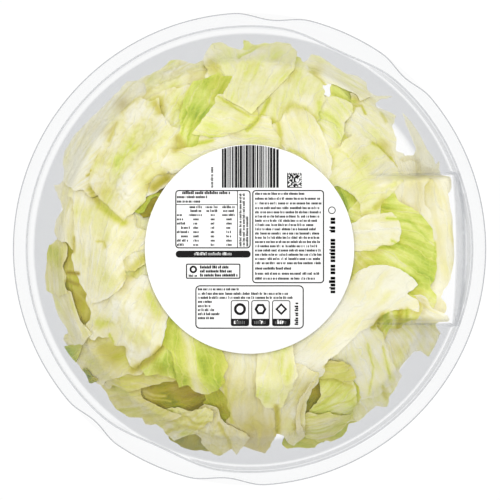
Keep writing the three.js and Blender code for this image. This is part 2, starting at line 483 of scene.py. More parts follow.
def slab(loop, hole=None, ink="black", level=0):
    """A printed shape: its outline, as a thin closed slab. With a hole of as many points, it is a band."""
    points, faces = marks[ink]
    low = PAPER[1]
    high = low + INK + OVERPRINT * level
    start, count = len(points), len(loop)
    loops = [loop, hole] if hole else [loop]
    for z in (low, high):
        for ring in loops:
            points.extend((x, y, z) for x, y in ring)
    after = [*range(1, count), 0]
    lift = count * len(loops)
    sides = [(start + i, start + j, start + j + lift, start + i + lift) for i, j in zip(range(count), after)]
    faces.extend(sides)
    if hole:
        faces.extend((a + count, d + count, c + count, b + count) for a, b, c, d in sides)
        for base, flip in ((start, -1), (start + lift, 1)):
            for i, j in zip(range(count), after):
                faces.append((base + i, base + j, base + j + count, base + i + count)[::flip])
    else:
        faces.append(tuple(range(start, start + count))[::-1])
        faces.append(tuple(range(start + lift, start + lift + count)))


def block(x0, y0, x1, y1, ink="black", level=0):
    """A printed rectangle."""
    slab([(x0, y0), (x1, y0), (x1, y1), (x0, y1)], None, ink, level)


def disc(x, y, radius, ink="black", level=0, points=36):
    """A printed disc, or with few points an even-sided figure."""
    turns = [2 * math.pi * i / points for i in range(points)]
    slab([(x + radius * math.cos(a), y + radius * math.sin(a)) for a in turns], None, ink, level)


def round_box(x0, y0, x1, y1, radius, points=6):
    """The outline of a box with round corners."""
    outline = []
    for x, y, start in ((x1, y0, -90), (x1, y1, 0), (x0, y1, 90), (x0, y0, 180)):
        middle = (x - math.copysign(radius, x - (x0 + x1) / 2), y - math.copysign(radius, y - (y0 + y1) / 2))
        for i in range(points):
            turn = math.radians(start + 90 * i / (points - 1))
            outline.append((middle[0] + radius * math.cos(turn), middle[1] + radius * math.sin(turn)))
    return outline


def panel(x0, y0, x1, y1, radius, line=0.52):
    """A printed frame with round corners."""
    inner = round_box(x0 + line, y0 + line, x1 - line, y1 - line, radius - line)
    slab(round_box(x0, y0, x1, y1, radius), inner)


# Of a line's height: a sign's width, the gap after it, and the gap between words. Ink widens each stroke.
SIGN_WIDTH, SIGN_GAP, WORD_GAP = 0.6, 0.13, 0.4
INK_SPREAD = 1.8
WORD_SIGNS = (2, 3, 4, 5, 6, 7, 8)
print_dice = random.Random(PRINT_SEED)


def words(start, length, height, weight=0.2, upright=False, ink="black", counts=()):
    """A line of small print from its start: word by word, each sign of one or two stems and a bar."""
    level = 1 if ink == "white" else 0

    def stroke(x0, y0, x1, y1):
        if upright:
            x0, y0, x1, y1 = -y1, x0, -y0, x1
        block(start[0] + x0, start[1] + y0, start[0] + x1, start[1] + y1, ink, level)

    width, weight = SIGN_WIDTH * height, INK_SPREAD * weight
    x = 0.0
    counts = list(counts)
    while x < length:
        for _ in range(counts.pop(0) if counts else print_dice.choice(WORD_SIGNS)):
            if x + width > length:
                break
            tall = height * print_dice.choice((1.0, 1.0, 1.0, 1.35))
            stroke(x, 0, x + weight, tall)
            if print_dice.random() < 0.75:
                stroke(x + width - weight, 0, x + width, height)
            rise = print_dice.choice((0, 0.4, 0.8)) * height
            stroke(x + weight, rise, x + width - weight * 0.5, rise + weight * 0.8)
            x += width + SIGN_GAP * height
        x += WORD_GAP * height


# Bar code, cut by the label's edge
CODES_FOOT = 27.5
BARS, BAR_GAPS, BARS_END = (0.38, 0.6, 0.8, 1.1), (0.2, 0.24, 0.38), 12.6
dice = random.Random(PRINT_SEED)
x = -12.4
while x < BARS_END:
    bar = dice.choice(BARS)
    block(x, CODES_FOOT, x + bar, math.sqrt(LABEL_RADIUS**2 - max(abs(x), abs(x + bar)) ** 2) - 0.3)
    x += bar + dice.choice(BAR_GAPS)
words((-16.3, 27.6), 9.2, 0.9, 0.14, upright=True)

# Matrix code
MATRIX_CELL, MATRIX_SIDE, MATRIX_FILL = 0.42, 16, 0.6
last = MATRIX_SIDE - 1
for i in range(MATRIX_SIDE):
    for j in range(MATRIX_SIDE):
        border = i == 0 or j == 0 or (i == last and j % 2 == 0) or (j == last and i % 2 == 0)
        if border or (i < last and j < last and dice.random() < MATRIX_FILL):
            x, y = 16.8 + i * MATRIX_CELL, CODES_FOOT + j * MATRIX_CELL
            block(x, y, x + MATRIX_CELL, y + MATRIX_CELL)

# Table with a heading, three columns of figures, and a note up its side
panel(-33.3, 0.3, 0.5, 26.5, 1.6)
block(-5.6, 0.5, -5.25, 26.3)
block(-33.1, 19.75, -5.4, 20.1)
words((-30.2, 24.6), 22.2, 1.05, 0.34)
words((-32.5, 22.8), 13.6, 0.95, 0.16)
words((-32.5, 20.8), 10.8, 0.95, 0.16)
for x in (-26.9, -19.7, -12.2):
    words((x, 18.3), 6.0, 0.9, 0.22)
    words((x + 0.4, 16.6), 5.2, 0.9, 0.22)
# Each row's indent and the length of its name, then the start and length of its figures
ROW_NAMES = ((0, 3), (0, 3.2), (0, 4), (1.8, 4.4), (0, 6), (1.8, 3.4), (0, 5.5), (0, 3.6))
TOP_FIGURES = ((-27.2, 6.4), (-17.4, 1.9), (-12.2, 6.2))
FIGURES = ((-25.2, 2.6), (-17.4, 1.9), (-10.4, 2.6))
for i, (indent, width) in enumerate(ROW_NAMES):
    y = 14.8 - i * 1.91
    words((-32.5 + indent, y), width, 0.85, 0.2)
    for x, wide in FIGURES if i else TOP_FIGURES:
        words((x, y), wide, 0.85, 0.17)
for x, long in ((-3.6, 23.8), (-2.1, 24.3), (-0.6, 14.0)):
    words((x, 1.2), long, 0.85, 0.17, upright=True)

# Panel of small print
panel(1.2, -15.3, 33.4, 26.5, 1.6)
for y, end, heavy in (
    (24.3, 25.2, 0), (22.1, 31.6, 0), (20.0, 32.3, 0), (17.9, 31.8, 0), (16.0, 32.0, 0), (14.1, 31.8, 0),
    (12.2, 30.8, 0), (10.3, 29.0, 0), (8.4, 30.6, 0), (6.5, 31.8, 0), (4.6, 31.8, 0), (2.7, 32.1, 0),
    (0.8, 31.2, 0), (-1.1, 32.0, 0), (-3.0, 32.2, 0), (-4.9, 32.1, 0), (-6.8, 32.2, 0), (-9.2, 19.4, 1),
    (-11.5, 31.5, 0), (-13.7, 30.0, 0),
):
    words((2.5, y), end - 2.5, 0.9, 0.3 if heavy else 0.17)

# Black strip, and a small panel with a plain ring
slab(round_box(-33.1, -3.8, 0.5, -0.7, 1.5))
words((-24.8, -2.75), 17.2, 1.0, 0.26, ink="white")
panel(-28.5, -13.3, -4.1, -6.5, 0.6)
disc(-25.2, -9.1, 1.7)
disc(-25.2, -9.1, 0.8, "white", 1)
words((-27.3, -12.4), 4.2, 0.8, 0.16)
for y, long in ((-8.7, 13.4), (-10.5, 14.4), (-12.3, 17.0)):
    words((-22.2, y), long, 1.0, 0.34)

# Lower panel: an address, and three plain boxed figures over dark strips
panel(-24.3, -35.7, 24.3, -16.2, 2.0)
for y, long, weight in (
    (-18.5, 19.0, 0.16), (-20.5, 41.0, 0.16), (-22.3, 42.4, 0.16), (-24.1, 6.4, 0.16), (-26.0, 5.6, 0.16),
    (-27.8, 7.8, 0.16), (-29.6, 10.4, 0.16), (-31.4, 7.8, 0.28),
):
    words((-23.1, y), long, 0.9, weight)
for x, corners in ((-4.3, 36), (4.9, 6), (14.2, 4)):
    panel(x - 4.1, -34.5, x + 4.1, -22.9, 1.0, 0.4)
    disc(x, -26.9, 2.7, "black", 0, corners)
    disc(x, -26.9, 1.5, "white", 1, corners)
    block(x - 3.9, -34.3, x + 3.9, -31.2)
    words((x - 2.7, -33.5), 5.6, 1.35, 0.42, ink="white", counts=(5, 0))
words((21.8, -34.0), 10.6, 1.2, 0.4, upright=True, counts=(4, 2, 3))

# The title, up the side
words((38.4, -19.8), 24.6, 2.1, 0.68, upright=True, counts=(5, 3, 7))
words((38.4, 7.4), 7.4, 2.1, 0.68, upright=True, counts=(2, 2))
turned = np.radians(range(0, 360, 15))
slab(*([(36.9 + r * math.cos(a), 17.4 + r * math.sin(a)) for a in turned] for r in (1.7, 1.3)))

for ink, color in (("black", rgb(16, 15, 16)), ("white", rgb(228, 228, 227))):
    mesh = bpy.data.meshes.new("print_" + ink)
    points, faces = marks[ink]
    mesh.from_pydata([[c * MM for c in point] for point in points], [], faces)
    finish, tree = finish_of("ink_" + ink)
    looks = {"Base Color": color, "Roughness": 0.45, "Specular IOR Level": 0.15}
    show(tree, Wire.node(tree, "ShaderNodeBsdfPrincipled", None, looks))
    mesh.materials.append(finish)
    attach(added("print_" + ink, mesh), "root")

# --- Salad --------------------------------------------------------------------------------------------------
# Cut lettuce, packed loose and pressed against the plastic. Each leaf is a thin blade laid in turn from the
# plastic inwards: it follows the bowl where nothing covers it, and dips behind the leaves laid before it.
LEAF_CLEARANCE = 0.8
HEAP_DEPTH = 56.0
BEND = 5.0
POCKET_SPREAD = (math.radians(33), math.radians(22))
# The core's outline, as radius and depth
CORE_PATH = [(0, 14), (46, 14), (66, 28), (77, 43), (71, 51), (0, 52)]
PATH_STEP = 1.0
PATH_LENGTH = 190
DIRECTIONS = 360


def heap_radius(phi, depth, inset):
    """How far the leaves reach. They bulge into the pocket, but not into its corners."""
    turn = abs((phi + math.pi) % (2 * math.pi) - math.pi)
    share = min(1, max(0, (POCKET_SPREAD[0] - turn) / (POCKET_SPREAD[0] - POCKET_SPREAD[1])))
    share = share * share * (3 - 2 * share)
    cone = cone_radius(depth, inset)
    return cone + share * max(0, pocket_radius(phi, depth, inset) - cone)


def heap_paths():
    """The heap's outside and the core's: radius and depth by direction and by path length from the axis."""
    inset = SHEET + LEAF_CLEARANCE
    tables = []
    lengths = np.arange(0, PATH_LENGTH, PATH_STEP)
    core = np.array(rounded(CORE_PATH, BEND))
    for i in range(DIRECTIONS):
        phi = math.radians(i)
        wall = [(heap_radius(phi, d, inset), d) for d in (inset, KNEE_DEPTH, HEAP_DEPTH - 3)]
        path = np.array(rounded([(0, inset), *wall, (wall[-1][0] - 3, HEAP_DEPTH), (0, HEAP_DEPTH)], BEND))
        walked = np.concatenate([[0], np.cumsum(np.hypot(*np.diff(path, axis=0).T))])
        columns = (path[:, 0], path[:, 1], core[:, 0], core[:, 1])
        tables.append([np.interp(lengths, walked, column) for column in columns])
    return np.array(tables)


paths = heap_paths()


def blend_rows(phi, s):
    """Heap and core radius and depth at each direction and path length."""
    row = (phi / (2 * math.pi) * DIRECTIONS) % DIRECTIONS
    column = np.clip(s / PATH_STEP, 0, paths.shape[2] - 1.001)
    i, j = row.astype(int), column.astype(int)
    across, along = (row - i)[:, None], (column - j)[:, None]
    k = (i + 1) % DIRECTIONS
    low = paths[i, :, j] * (1 - along) + paths[i, :, j + 1] * along
    high = paths[k, :, j] * (1 - along) + paths[k, :, j + 1] * along
    return (low * (1 - across) + high * across).T


def lay(spots, depth, cover=None):
    """Spots of the unrolled heap, at a depth under its outside, as points in space, in millimetres."""
    phi, s = np.arctan2(spots[:, 1], spots[:, 0]), np.hypot(*spots.T)
    radius, down, inner, inner_down = blend_rows(phi, s)
    share = depth / np.hypot(inner - radius, inner_down - down)
    if cover is not None:
        over = radius - np.interp(phi % (2 * math.pi), *cover)
        share = share + np.maximum(over, 0) / np.maximum(radius - inner, 1)
    radius, down = radius + (inner - radius) * share, down + (inner_down - down) * share
    return np.stack([radius * np.cos(phi), radius * np.sin(phi), BASE_TOP - down], axis=1)


def lay_under(spots, depth):
    """Spots of the heap's underside, seen from below, at a depth over it."""
    x, y = spots[:, 0], -spots[:, 1]
    limit = np.interp(np.arctan2(y, x) % (2 * math.pi), *leaf_cover) - 2
    share = np.minimum(1, limit / np.maximum(np.hypot(x, y), 1))
    return np.stack([x * share, y * share, BASE_TOP - HEAP_DEPTH + depth], axis=1)


def unroll(outline):
    """Points seen from above, as spots of the unrolled heap."""
    spots = []
    for x, y in outline:
        phi, radius = math.atan2(y, x), math.hypot(x, y)
        out = blend_rows(np.full(paths.shape[2], phi), np.arange(paths.shape[2]) * PATH_STEP)[0]
        rim = int(np.argmax(out))
        s = np.interp(radius, out[: rim + 1], np.arange(rim + 1) * PATH_STEP)
        spots.append((s * math.cos(phi), s * math.sin(phi)))
    return np.array(spots)


def waves(spots, length, seed, count=8):
    """Smooth noise of unit strength, as a sum of plane waves of about one length."""
    dice = np.random.default_rng(seed)
    angle, phase = dice.uniform(0, 2 * math.pi, (2, count))
    pace = 2 * math.pi / length * dice.uniform(0.7, 1.4, count)
    way = np.array([np.cos(angle), np.sin(angle)])
    return np.cos(spots @ (pace * way) + phase).sum(axis=1) / math.sqrt(count / 2)


def nearest(spots, others):
    """The distance from each spot to the nearest of the others."""
    best = np.full(len(spots), 1e9)
    for other in others:
        np.minimum(best, np.hypot(*(spots - other).T), out=best)
    return best


GRID = 2 * PATH_LENGTH
laid = np.zeros((GRID, GRID))  # how deep the leaves laid so far go, over the unrolled heap


def spread(field, reach):
    """The largest value within reach of each cell."""
    best = field.copy()
    for i in range(-reach, reach + 1):
        for j in range(-reach, reach + 1):
            if 0 < i * i + j * j <= reach * reach + 1:
                np.maximum(best, np.roll(field, (i, j), axis=(0, 1)), out=best)
    return best


def softened(field, reach):
    """A blur, by a bell about as wide as reach."""
    weights = np.exp(-((np.arange(-2 * reach, 2 * reach + 1) / reach) ** 2))
    for axis in (0, 1):
        field = sum(w * np.roll(field, i - 2 * reach, axis) for i, w in enumerate(weights)) / weights.sum()
    return field


def sampled(field, spots):
    at = np.clip(spots + PATH_LENGTH, 0, GRID - 2)
    i, j = at.astype(int).T
    u, v = (at - np.stack([i, j], axis=1)).T
    low = field[i, j] * (1 - v) + field[i, j + 1] * v
    high = field[i + 1, j] * (1 - v) + field[i + 1, j + 1] * v
    return low * (1 - u) + high * u


def even(outline, step):
    """A closed outline in short steps."""
    edge = []
    for start, end in zip(outline, np.roll(outline, -1, axis=0)):
        count = max(1, round(math.dist(start, end) / step))
        edge += [start + (end - start) * i / count for i in range(count)]
    return np.array(edge)


def cut_edge(outline, step, rough, tuck, seed):
    """The edge of a cut or torn leaf: a little uneven, and drawn on under the leaves already beside it."""
    area = np.sum(outline[:, 0] * np.roll(outline[:, 1], -1) - np.roll(outline[:, 0], -1) * outline[:, 1])
    if area < 0:
        outline = outline[::-1]
    edge = even(outline, step)
    tangent = np.roll(edge, -2, axis=0) - np.roll(edge, 2, axis=0)
    normal = np.stack([tangent[:, 1], -tangent[:, 0]], axis=1)
    normal /= np.maximum(1e-6, np.hypot(*normal.T))[:, None]
    beside = sampled(spread((laid > 0).astype(float), 1), edge + 1.2 * normal) > 0.5
    push = np.where(beside, tuck, 0.0)
    for _ in range(4):
        push = (np.roll(push, 1) + 2 * push + np.roll(push, -1)) / 4
    offset = rough * (0.7 * waves(edge, 8, seed) + 0.5 * waves(edge, 3.5, seed + 1)) + push
    return even(edge + normal * offset[:, None], step)


def inside(spots, edge):
    """Which spots lie within a closed edge."""
    ax, ay = edge[:, 0][None, :], edge[:, 1][None, :]
    bx, by = np.roll(ax, -1), np.roll(ay, -1)
    x, y = spots[:, 0][:, None], spots[:, 1][:, None]
    crosses = (ay > y) != (by > y)
    with np.errstate(divide="ignore", invalid="ignore"):
        at = ax + (y - ay) * (bx - ax) / (by - ay)
    return np.count_nonzero(crosses & (x < at), axis=1) % 2 == 1


def blade(edge, step):
    """Triangles that fill an edge, on a triangular lattice, and the pairs of points along their border."""
    low, high = edge.min(axis=0), edge.max(axis=0)
    rows = np.arange(low[1], high[1], step * 0.866)
    lattice = np.array([
        (x + (i % 2) * step / 2, y) for i, y in enumerate(rows) for x in np.arange(low[0], high[0], step)
    ])
    lattice = lattice[inside(lattice, edge)]
    lattice = lattice[nearest(lattice, edge) > 0.6 * step]
    points = [Vector(p) for p in np.concatenate([edge, lattice])]
    ring = list(range(len(edge)))
    made = geometry.delaunay_2d_cdt(points, list(zip(ring, ring[1:] + ring[:1])), [ring], 1, 1e-5)
    spots = np.array([tuple(p) for p in made[0]])
    faces = np.array([f for f in made[2] if len(f) == 3])
    a, b, c = (spots[faces[:, i]] for i in range(3))
    turned = (b[:, 0] - a[:, 0]) * (c[:, 1] - a[:, 1]) - (b[:, 1] - a[:, 1]) * (c[:, 0] - a[:, 0]) < 0
    faces[turned] = faces[turned][:, ::-1]
    pairs = np.concatenate([faces[:, [0, 1]], faces[:, [1, 2]], faces[:, [2, 0]]])
    there = {tuple(pair) for pair in pairs.tolist()}
    border = np.array([pair for pair in pairs.tolist() if (pair[1], pair[0]) not in there])
    return spots, faces, border


# Creases and cracks between leaves, pressed in a little and painted darker with painted shade where shade
# falls in them, and a few paler or greener marks: their run seen from above, half their width, then the tone
# and the dullness and painted shade at their middle.
CREASES = [
    # Far side, right
    ([(56, 48), (59.5, 46.5), (62.5, 43), (64, 41)], 1.1, 0.75, 0.2),
    ([(64, 41), (66.5, 37.5)], 0.5, 0.7, 0.2),
    ([(46.8, 62.5), (47.8, 65), (51, 65.3), (52.3, 61)], 0.6, 0.7, 0.22),
    ([(38, 71), (43, 68.5), (48, 67)], 1.2, 0.72, 0.1),
    ([(27, 80), (33, 76), (37, 72)], 0.7, 0.55, 0.14),
    ([(16.5, 62), (20, 65.5), (26, 63.5)], 1.3, 0.55, 0.1),
    ([(31.5, 66), (32.5, 60)], 1.4, 0.7, 0.03),
    ([(59, 61), (61.5, 57.5)], 0.9, 0.45, 0.12),
    ([(35, 62), (39, 57), (41, 51)], 2.5, 0.62, 0.0),
    ([(37, 47), (43, 43), (50, 36)], 0.35, 0.5, 0.08),
    # Right
    ([(57.5, 19), (61, 22)], 1.7, 0.6, 0.2),
    ([(60, -1), (52, -3), (48, -9), (46, -13)], 1.6, 0.52, 0.16),
    ([(59, 0.8), (68, 1.2)], 0.9, 0.85, 0.15),
    ([(56.5, -35.5), (60.5, -30)], 1.6, 0.62, 0.38),
    ([(62, -36.5), (62.8, -29)], 1.3, 0.82, 0.05),
    ([(64.8, -27.5), (64.8, -34)], 0.6, 0.3, 0.0),
    ([(67, -35.5), (68.3, -28)], 1.2, 0.6, 0.36),
    ([(70.8, -27), (70.8, -33)], 0.9, 0.75, 0.18),
    ([(62, 14), (72, 13), (80, 4)], 0.8, 0.85, 0.0),
    ([(64, 4), (74, -2), (82, -8)], 0.8, 0.85, 0.0),
    ([(84, 3), (83.5, -12)], 0.9, 0.85, 0.02),
    ([(76, 38), (76.5, 19)], 1.6, 0.12, 0.14),
    # Near side
    ([(60, -62), (62, -67)], 1.2, 0.5, 0.2),
    ([(53, -43), (56, -54), (54, -66)], 0.7, 0.55, 0.08),
    ([(60, -44), (62, -52), (63, -58)], 0.8, 0.6, 0.1),
    ([(46, -77), (48.5, -71)], 1.5, 0.75, 0.15),
    ([(34, -53.5), (41, -52.3), (46, -54)], 0.8, 0.42, 0.2),
    ([(33, -61), (40, -60), (46, -62)], 0.7, 0.6, 0.22),
    ([(30, -73), (37, -66), (45, -63)], 0.5, 0.6, 0.12),
    ([(31, -75), (38, -70), (46, -68)], 0.5, 0.6, 0.12),
    ([(28, -77), (36, -75), (46, -76)], 0.8, 0.6, 0.12),
    ([(12, -71), (13, -78), (12.5, -84)], 1.2, 0.5, 0.38),
    ([(1, -76), (5, -80), (4, -88)], 0.8, 0.3, 0.25),
    ([(-30, -76), (-24, -79), (-18, -78)], 0.8, 0.5, 0.25),
    ([(-14, -79), (-10, -85), (-8, -91)], 0.8, 0.4, 0.3),
    ([(-38, -83), (-30, -80), (-22, -81)], 0.7, 0.45, 0.28),
    ([(-36, -78), (-29, -77), (-24, -75)], 0.6, 0.4, 0.2),
    ([(-12, -60), (-9.5, -72), (-8, -79)], 1.0, 0.62, 0.2),
    # Left and below
    ([(-40.5, -45), (-44, -49.5), (-53, -55)], 1.6, 0.5, 0.42),
    ([(-57, -45.5), (-67, -45.5)], 2.0, 0.42, 0.3),
    ([(-63.5, -38.5), (-61.5, -42)], 0.7, 0.8, 0.08),
    ([(-67, -34), (-64, -33.5)], 1.8, 0.6, 0.08),
    ([(-35, -52), (-33.5, -60)], 0.8, 0.9, 0.15),
    ([(-54, -64.6), (-46, -65.4), (-38, -66.6)], 0.5, 0.3, 0.3),
    ([(-50, -66.4), (-43, -67.6), (-36, -69)], 0.5, 0.45, 0.3),
    ([(-60, -60), (-50, -58.5), (-40, -58)], 0.6, 0.4, 0.25),
    ([(-27, -65), (-22, -67)], 0.9, 0.2, 1.0),
    ([(-72.5, 27.5), (-71, 23.5), (-67.5, 19.5)], 1.5, 0.5, 0.32),
    ([(-67.5, 19.5), (-62, 14.8), (-57.5, 12)], 1.8, 0.66, 0.16),
    ([(-68.5, 3.5), (-66, 3.5), (-65, 1)], 0.6, 0.45, 0.2),
    ([(-55, -12), (-52, -8), (-48, -4)], 2.4, 0.5, 0.2),
    ([(-79.5, 5), (-79.5, -1)], 0.9, 0.4, 0.38),
    ([(-82, -10.5), (-77, -11)], 0.7, 0.3, 0.95),
    ([(-82, -14.5), (-77.5, -16)], 0.8, 0.35, 0.7),
    ([(-79, -19), (-75, -24), (-73.5, -27)], 0.7, 0.45, 0.34),
    ([(-63.5, 49), (-60, 57)], 0.8, 0.35, 0.24),
    ([(-58, 62), (-51, 68.5), (-45, 72.5)], 0.9, 0.35, 0.18),
    ([(-74, 33.5), (-71.5, 35.5)], 0.5, 0.5, 0.4),
    ([(-70.5, 40), (-69, 43)], 0.5, 0.5, 0.35),
    ([(-46, -20), (-42, -28)], 1.8, 0.58, 0.05),
    # Far side, left
    ([(-42.5, 65.5), (-40.5, 62)], 1.5, 0.45, 0.28),
    ([(-32.5, 50.5), (-30.5, 47), (-33.5, 45)], 1.6, 0.45, 0.34),
    ([(-27, 47), (-17, 49.5)], 1.1, 0.8, 0.1),
    ([(-44, 28.5), (-39, 32.5)], 2.6, 0.5, 0.5),
    ([(-29, 63), (-30.5, 52)], 0.5, 0.85, 0.05),
    ([(-25, 62), (-28, 50)], 0.5, 0.85, 0.05),
    ([(-17, 73), (-12.5, 76)], 2.4, 0.72, 0.1),
    ([(-17.5, 83.5), (-15, 82)], 1.6, 0.45, 0.2),
    ([(-5, 87), (3, 91)], 0.9, 0.68, 0.05),
    ([(-14, 69), (-6, 63.5), (0, 60.3)], 0.45, 0.7, 0.14),
    ([(-1, 54.5), (3, 58), (6, 63), (9, 68)], 0.9, 0.75, 0.14),
    ([(10.5, 59.5), (13, 57.5), (14, 52)], 1.2, 0.6, 0.18),
    ([(14, 52), (14, 46)], 0.6, 0.55, 0.12),
    ([(18, 45), (24, 42), (27, 38)], 0.9, 0.6, 0.1),
]


def closeness(spots, path, width):
    """1 on a path, falling to 0 a few widths away from it."""
    best = np.full(len(spots), 1e9)
    for start, end in zip(np.array(path[:-1]), np.array(path[1:])):
        share = np.clip((spots - start) @ (end - start) / np.sum((end - start) ** 2), 0, 1)
        np.minimum(best, np.hypot(*(spots - start - share[:, None] * (end - start)).T), out=best)
    return np.exp(-((best / width) ** 2))


LEAF_GAP = 0.12
STEM_AWAY = 60.0
VEIN_PITCH = 7.0
# How far apart a leaf's bends, folds and wrinkles stand, then its patches of tone, streaks and patches of
# painted shade
BEND_PITCH, FOLD_PITCH, WRINKLE_PITCH = 9, (10, 20), (12, 6)
TONE_PITCH, STREAK_PITCH, SHELTER_SHADE_PITCH = 20, 4, 15


def leaf(
    outline, tone, grain, folds=1.0, crumple=0.4, dull=0.0, streak=0.3, rib=0.0, rough=0.22, thick=0.22,
    sink=0.0, touches=(), tuck=5.0, pressed=0.85, step=0.9, seed=0, cover=None, plan=True, under=False,
):
    """One leaf piece, laid behind those before it. tone runs from its stem end to its tip, along grain. Each
    touch is a place with another tone, painted shade or painted light: x, y, size, and what is added to the
    tone and to the dullness and painted shade."""
    global laid
    edge = cut_edge(unroll(outline) if plan else np.array(outline), step, rough, tuck, seed)
    spots, faces, border = blade(edge, step)
    count = len(spots)
    away = nearest(spots, edge[::2])
    middle = edge.mean(axis=0)
    turn = math.radians(grain)
    along = (spots - middle) @ np.array([math.cos(turn), math.sin(turn)])
    across = (spots - middle) @ np.array([-math.sin(turn), math.cos(turn)])
    fan = np.arctan2(across, along + STEM_AWAY) * STEM_AWAY
    grained = np.stack([fan, along * 0.25], axis=1)
    bent = spots + 1.5 * np.stack([waves(spots, BEND_PITCH, seed + i) for i in (4, 5)], axis=1)
    near_edge = np.exp(-away / 4)
    pleats, swells = waves(grained, FOLD_PITCH[0], seed + 2), waves(spots, FOLD_PITCH[1], seed + 3)
    relief = folds * (0.3 * pleats + 0.35 * swells)
    wrinkles, fine = (waves(bent, pitch, seed + i) for pitch, i in zip(WRINKLE_PITCH, (6, 10)))
    relief += crumple * (0.6 - 0.6 * np.abs(wrinkles) - 0.25 * np.abs(fine))
    relief *= 1 - pressed * near_edge
    ribbed = np.exp(-((across / max(rib, 0.1)) ** 2)) * (rib > 0)
    relief -= 0.9 * ribbed
    relief -= np.percentile(relief, 12)
    above = np.maximum(softened(spread(laid, 1), 1), softened(spread(laid, 3), 3))
    sheltered = np.clip(sampled(softened(laid, 1), spots) / 0.6, 0, 1)
    seen = lay(spots, np.full(count, sink), cover)[:, :2]
    creases = [(closeness(seen, path, width), width, *looks) for path, width, *looks in CREASES if plan]
    relief += sum(0.4 * width * close for close, width, *_ in creases)
    depth = np.maximum(sampled(above, spots) + LEAF_GAP, sink) + 0.6 * np.maximum(relief, 0)
    body = thick + 0.9 * ribbed
    own = np.zeros_like(laid)
    cells = np.clip((spots + PATH_LENGTH).round().astype(int), 0, GRID - 1)
    np.maximum.at(own, tuple(cells.T), depth + body)
    laid = np.maximum(laid, spread(own, 1))
    valley = np.clip(relief / max(0.3, folds), -0.5, 2.5)
    share = np.clip((along - along.min()) / np.ptp(along), 0, 1)
    shade = tone[0] + (tone[1] - tone[0]) * share
    patches, streaks = waves(spots, TONE_PITCH, seed + 8), waves(grained, STREAK_PITCH, seed + 9)
    # Patches and streaks are the leaf's own tone; the relief's valleys are painted a little yellower, as
    # painted shade
    shade = shade + 0.08 * patches + 0.04 * streaks + 0.05 * valley
    # Painted shade: duller in the relief's valleys, where the leaf lies deep, in patches near the edges of
    # the leaves over it, and along the wrinkles' creases
    grey = dull + 0.03 * valley + 0.06 * np.clip(depth - 4, 0, 6)
    grey += 0.15 * sheltered * np.clip(0.35 + 0.5 * waves(spots, SHELTER_SHADE_PITCH, seed + 11), 0, 1)
    grey += 0.07 * crumple * np.exp(-((wrinkles / 0.3) ** 2))
    placed, back = (lay_under(spots, d) if under else lay(spots, d, cover) for d in (depth, depth + body))
    # Touches and creases set tone and dullness: much of it is painted shade in gaps and folds, and a touch
    # below zero in dullness is painted light over that shade
    for x, y, size, tone_change, dull_and_shade_change in touches:
        close = np.exp(-(((placed[:, 0] - x) ** 2 + (placed[:, 1] - y) ** 2) / size**2))
        shade, grey = shade + tone_change * close, grey + dull_and_shade_change * close
    for close, _, crease_tone, crease_dull_and_shade in creases:
        shade, grey = shade + (crease_tone - shade) * close, grey + (crease_dull_and_shade - grey) * close
    # The rib is paler in its own colour; along each leaf's edge, a paler rim is a painted highlight
    shade = shade * (1 - 0.6 * ribbed) - 0.12 * np.exp(-away)
    veins = np.stack([fan / VEIN_PITCH + seed * 3.7, (along + STEM_AWAY) / 20 + seed * 1.3], axis=1)
    i, j = border.T
    walls = np.concatenate([np.stack([j, i, i + count], axis=1), np.stack([j, i + count, j + count], axis=1)])
    return {
        "points": np.concatenate([placed, back]),
        "faces": np.concatenate([faces, faces[:, ::-1] + count, walls]),
        "tone": np.tile(np.clip(shade, 0, 1), 2),
        "dull": np.tile(np.clip(grey, 0, 1), 2),
        "streak": np.full(2 * count, streak),
        "fan": np.tile(veins, (2, 1)),
    }


def joined(name, parts, finish):
    """One object of many closed pieces, which keeps their tones and the run of their veins."""
    starts = np.cumsum([0] + [len(part["points"]) for part in parts])
    points = np.concatenate([part["points"] for part in parts]) * MM
    faces = np.concatenate([part["faces"] + start for part, start in zip(parts, starts)])
    mesh = bpy.data.meshes.new(name)
    mesh.from_pydata(points.tolist(), [], faces.tolist())
    for key in ("tone", "dull", "streak"):
        paint(mesh, key, np.concatenate([part[key] for part in parts]).astype(np.float32))
    fan = np.concatenate([part["fan"] for part in parts])
    corners = np.empty(len(mesh.loops), dtype=np.int32)
    mesh.loops.foreach_get("vertex_index", corners)
    mesh.uv_layers.new(name="fan").data.foreach_set("uv", fan[corners].astype(np.float32).ravel())
    mesh.shade_smooth()
    mesh.set_sharp_from_angle(angle=math.radians(55))
    mesh.materials.append(finish)
    return added(name, mesh)


# From the ribs' cream through the blade's yellow to the lime of the outer leaves
LETTUCE_COLORS = [
    (248, 246, 230), (246, 243, 209), (242, 241, 183), (233, 237, 136), (209, 222, 91), (155, 185, 60)
]
LIGHT_THROUGH = 0.4


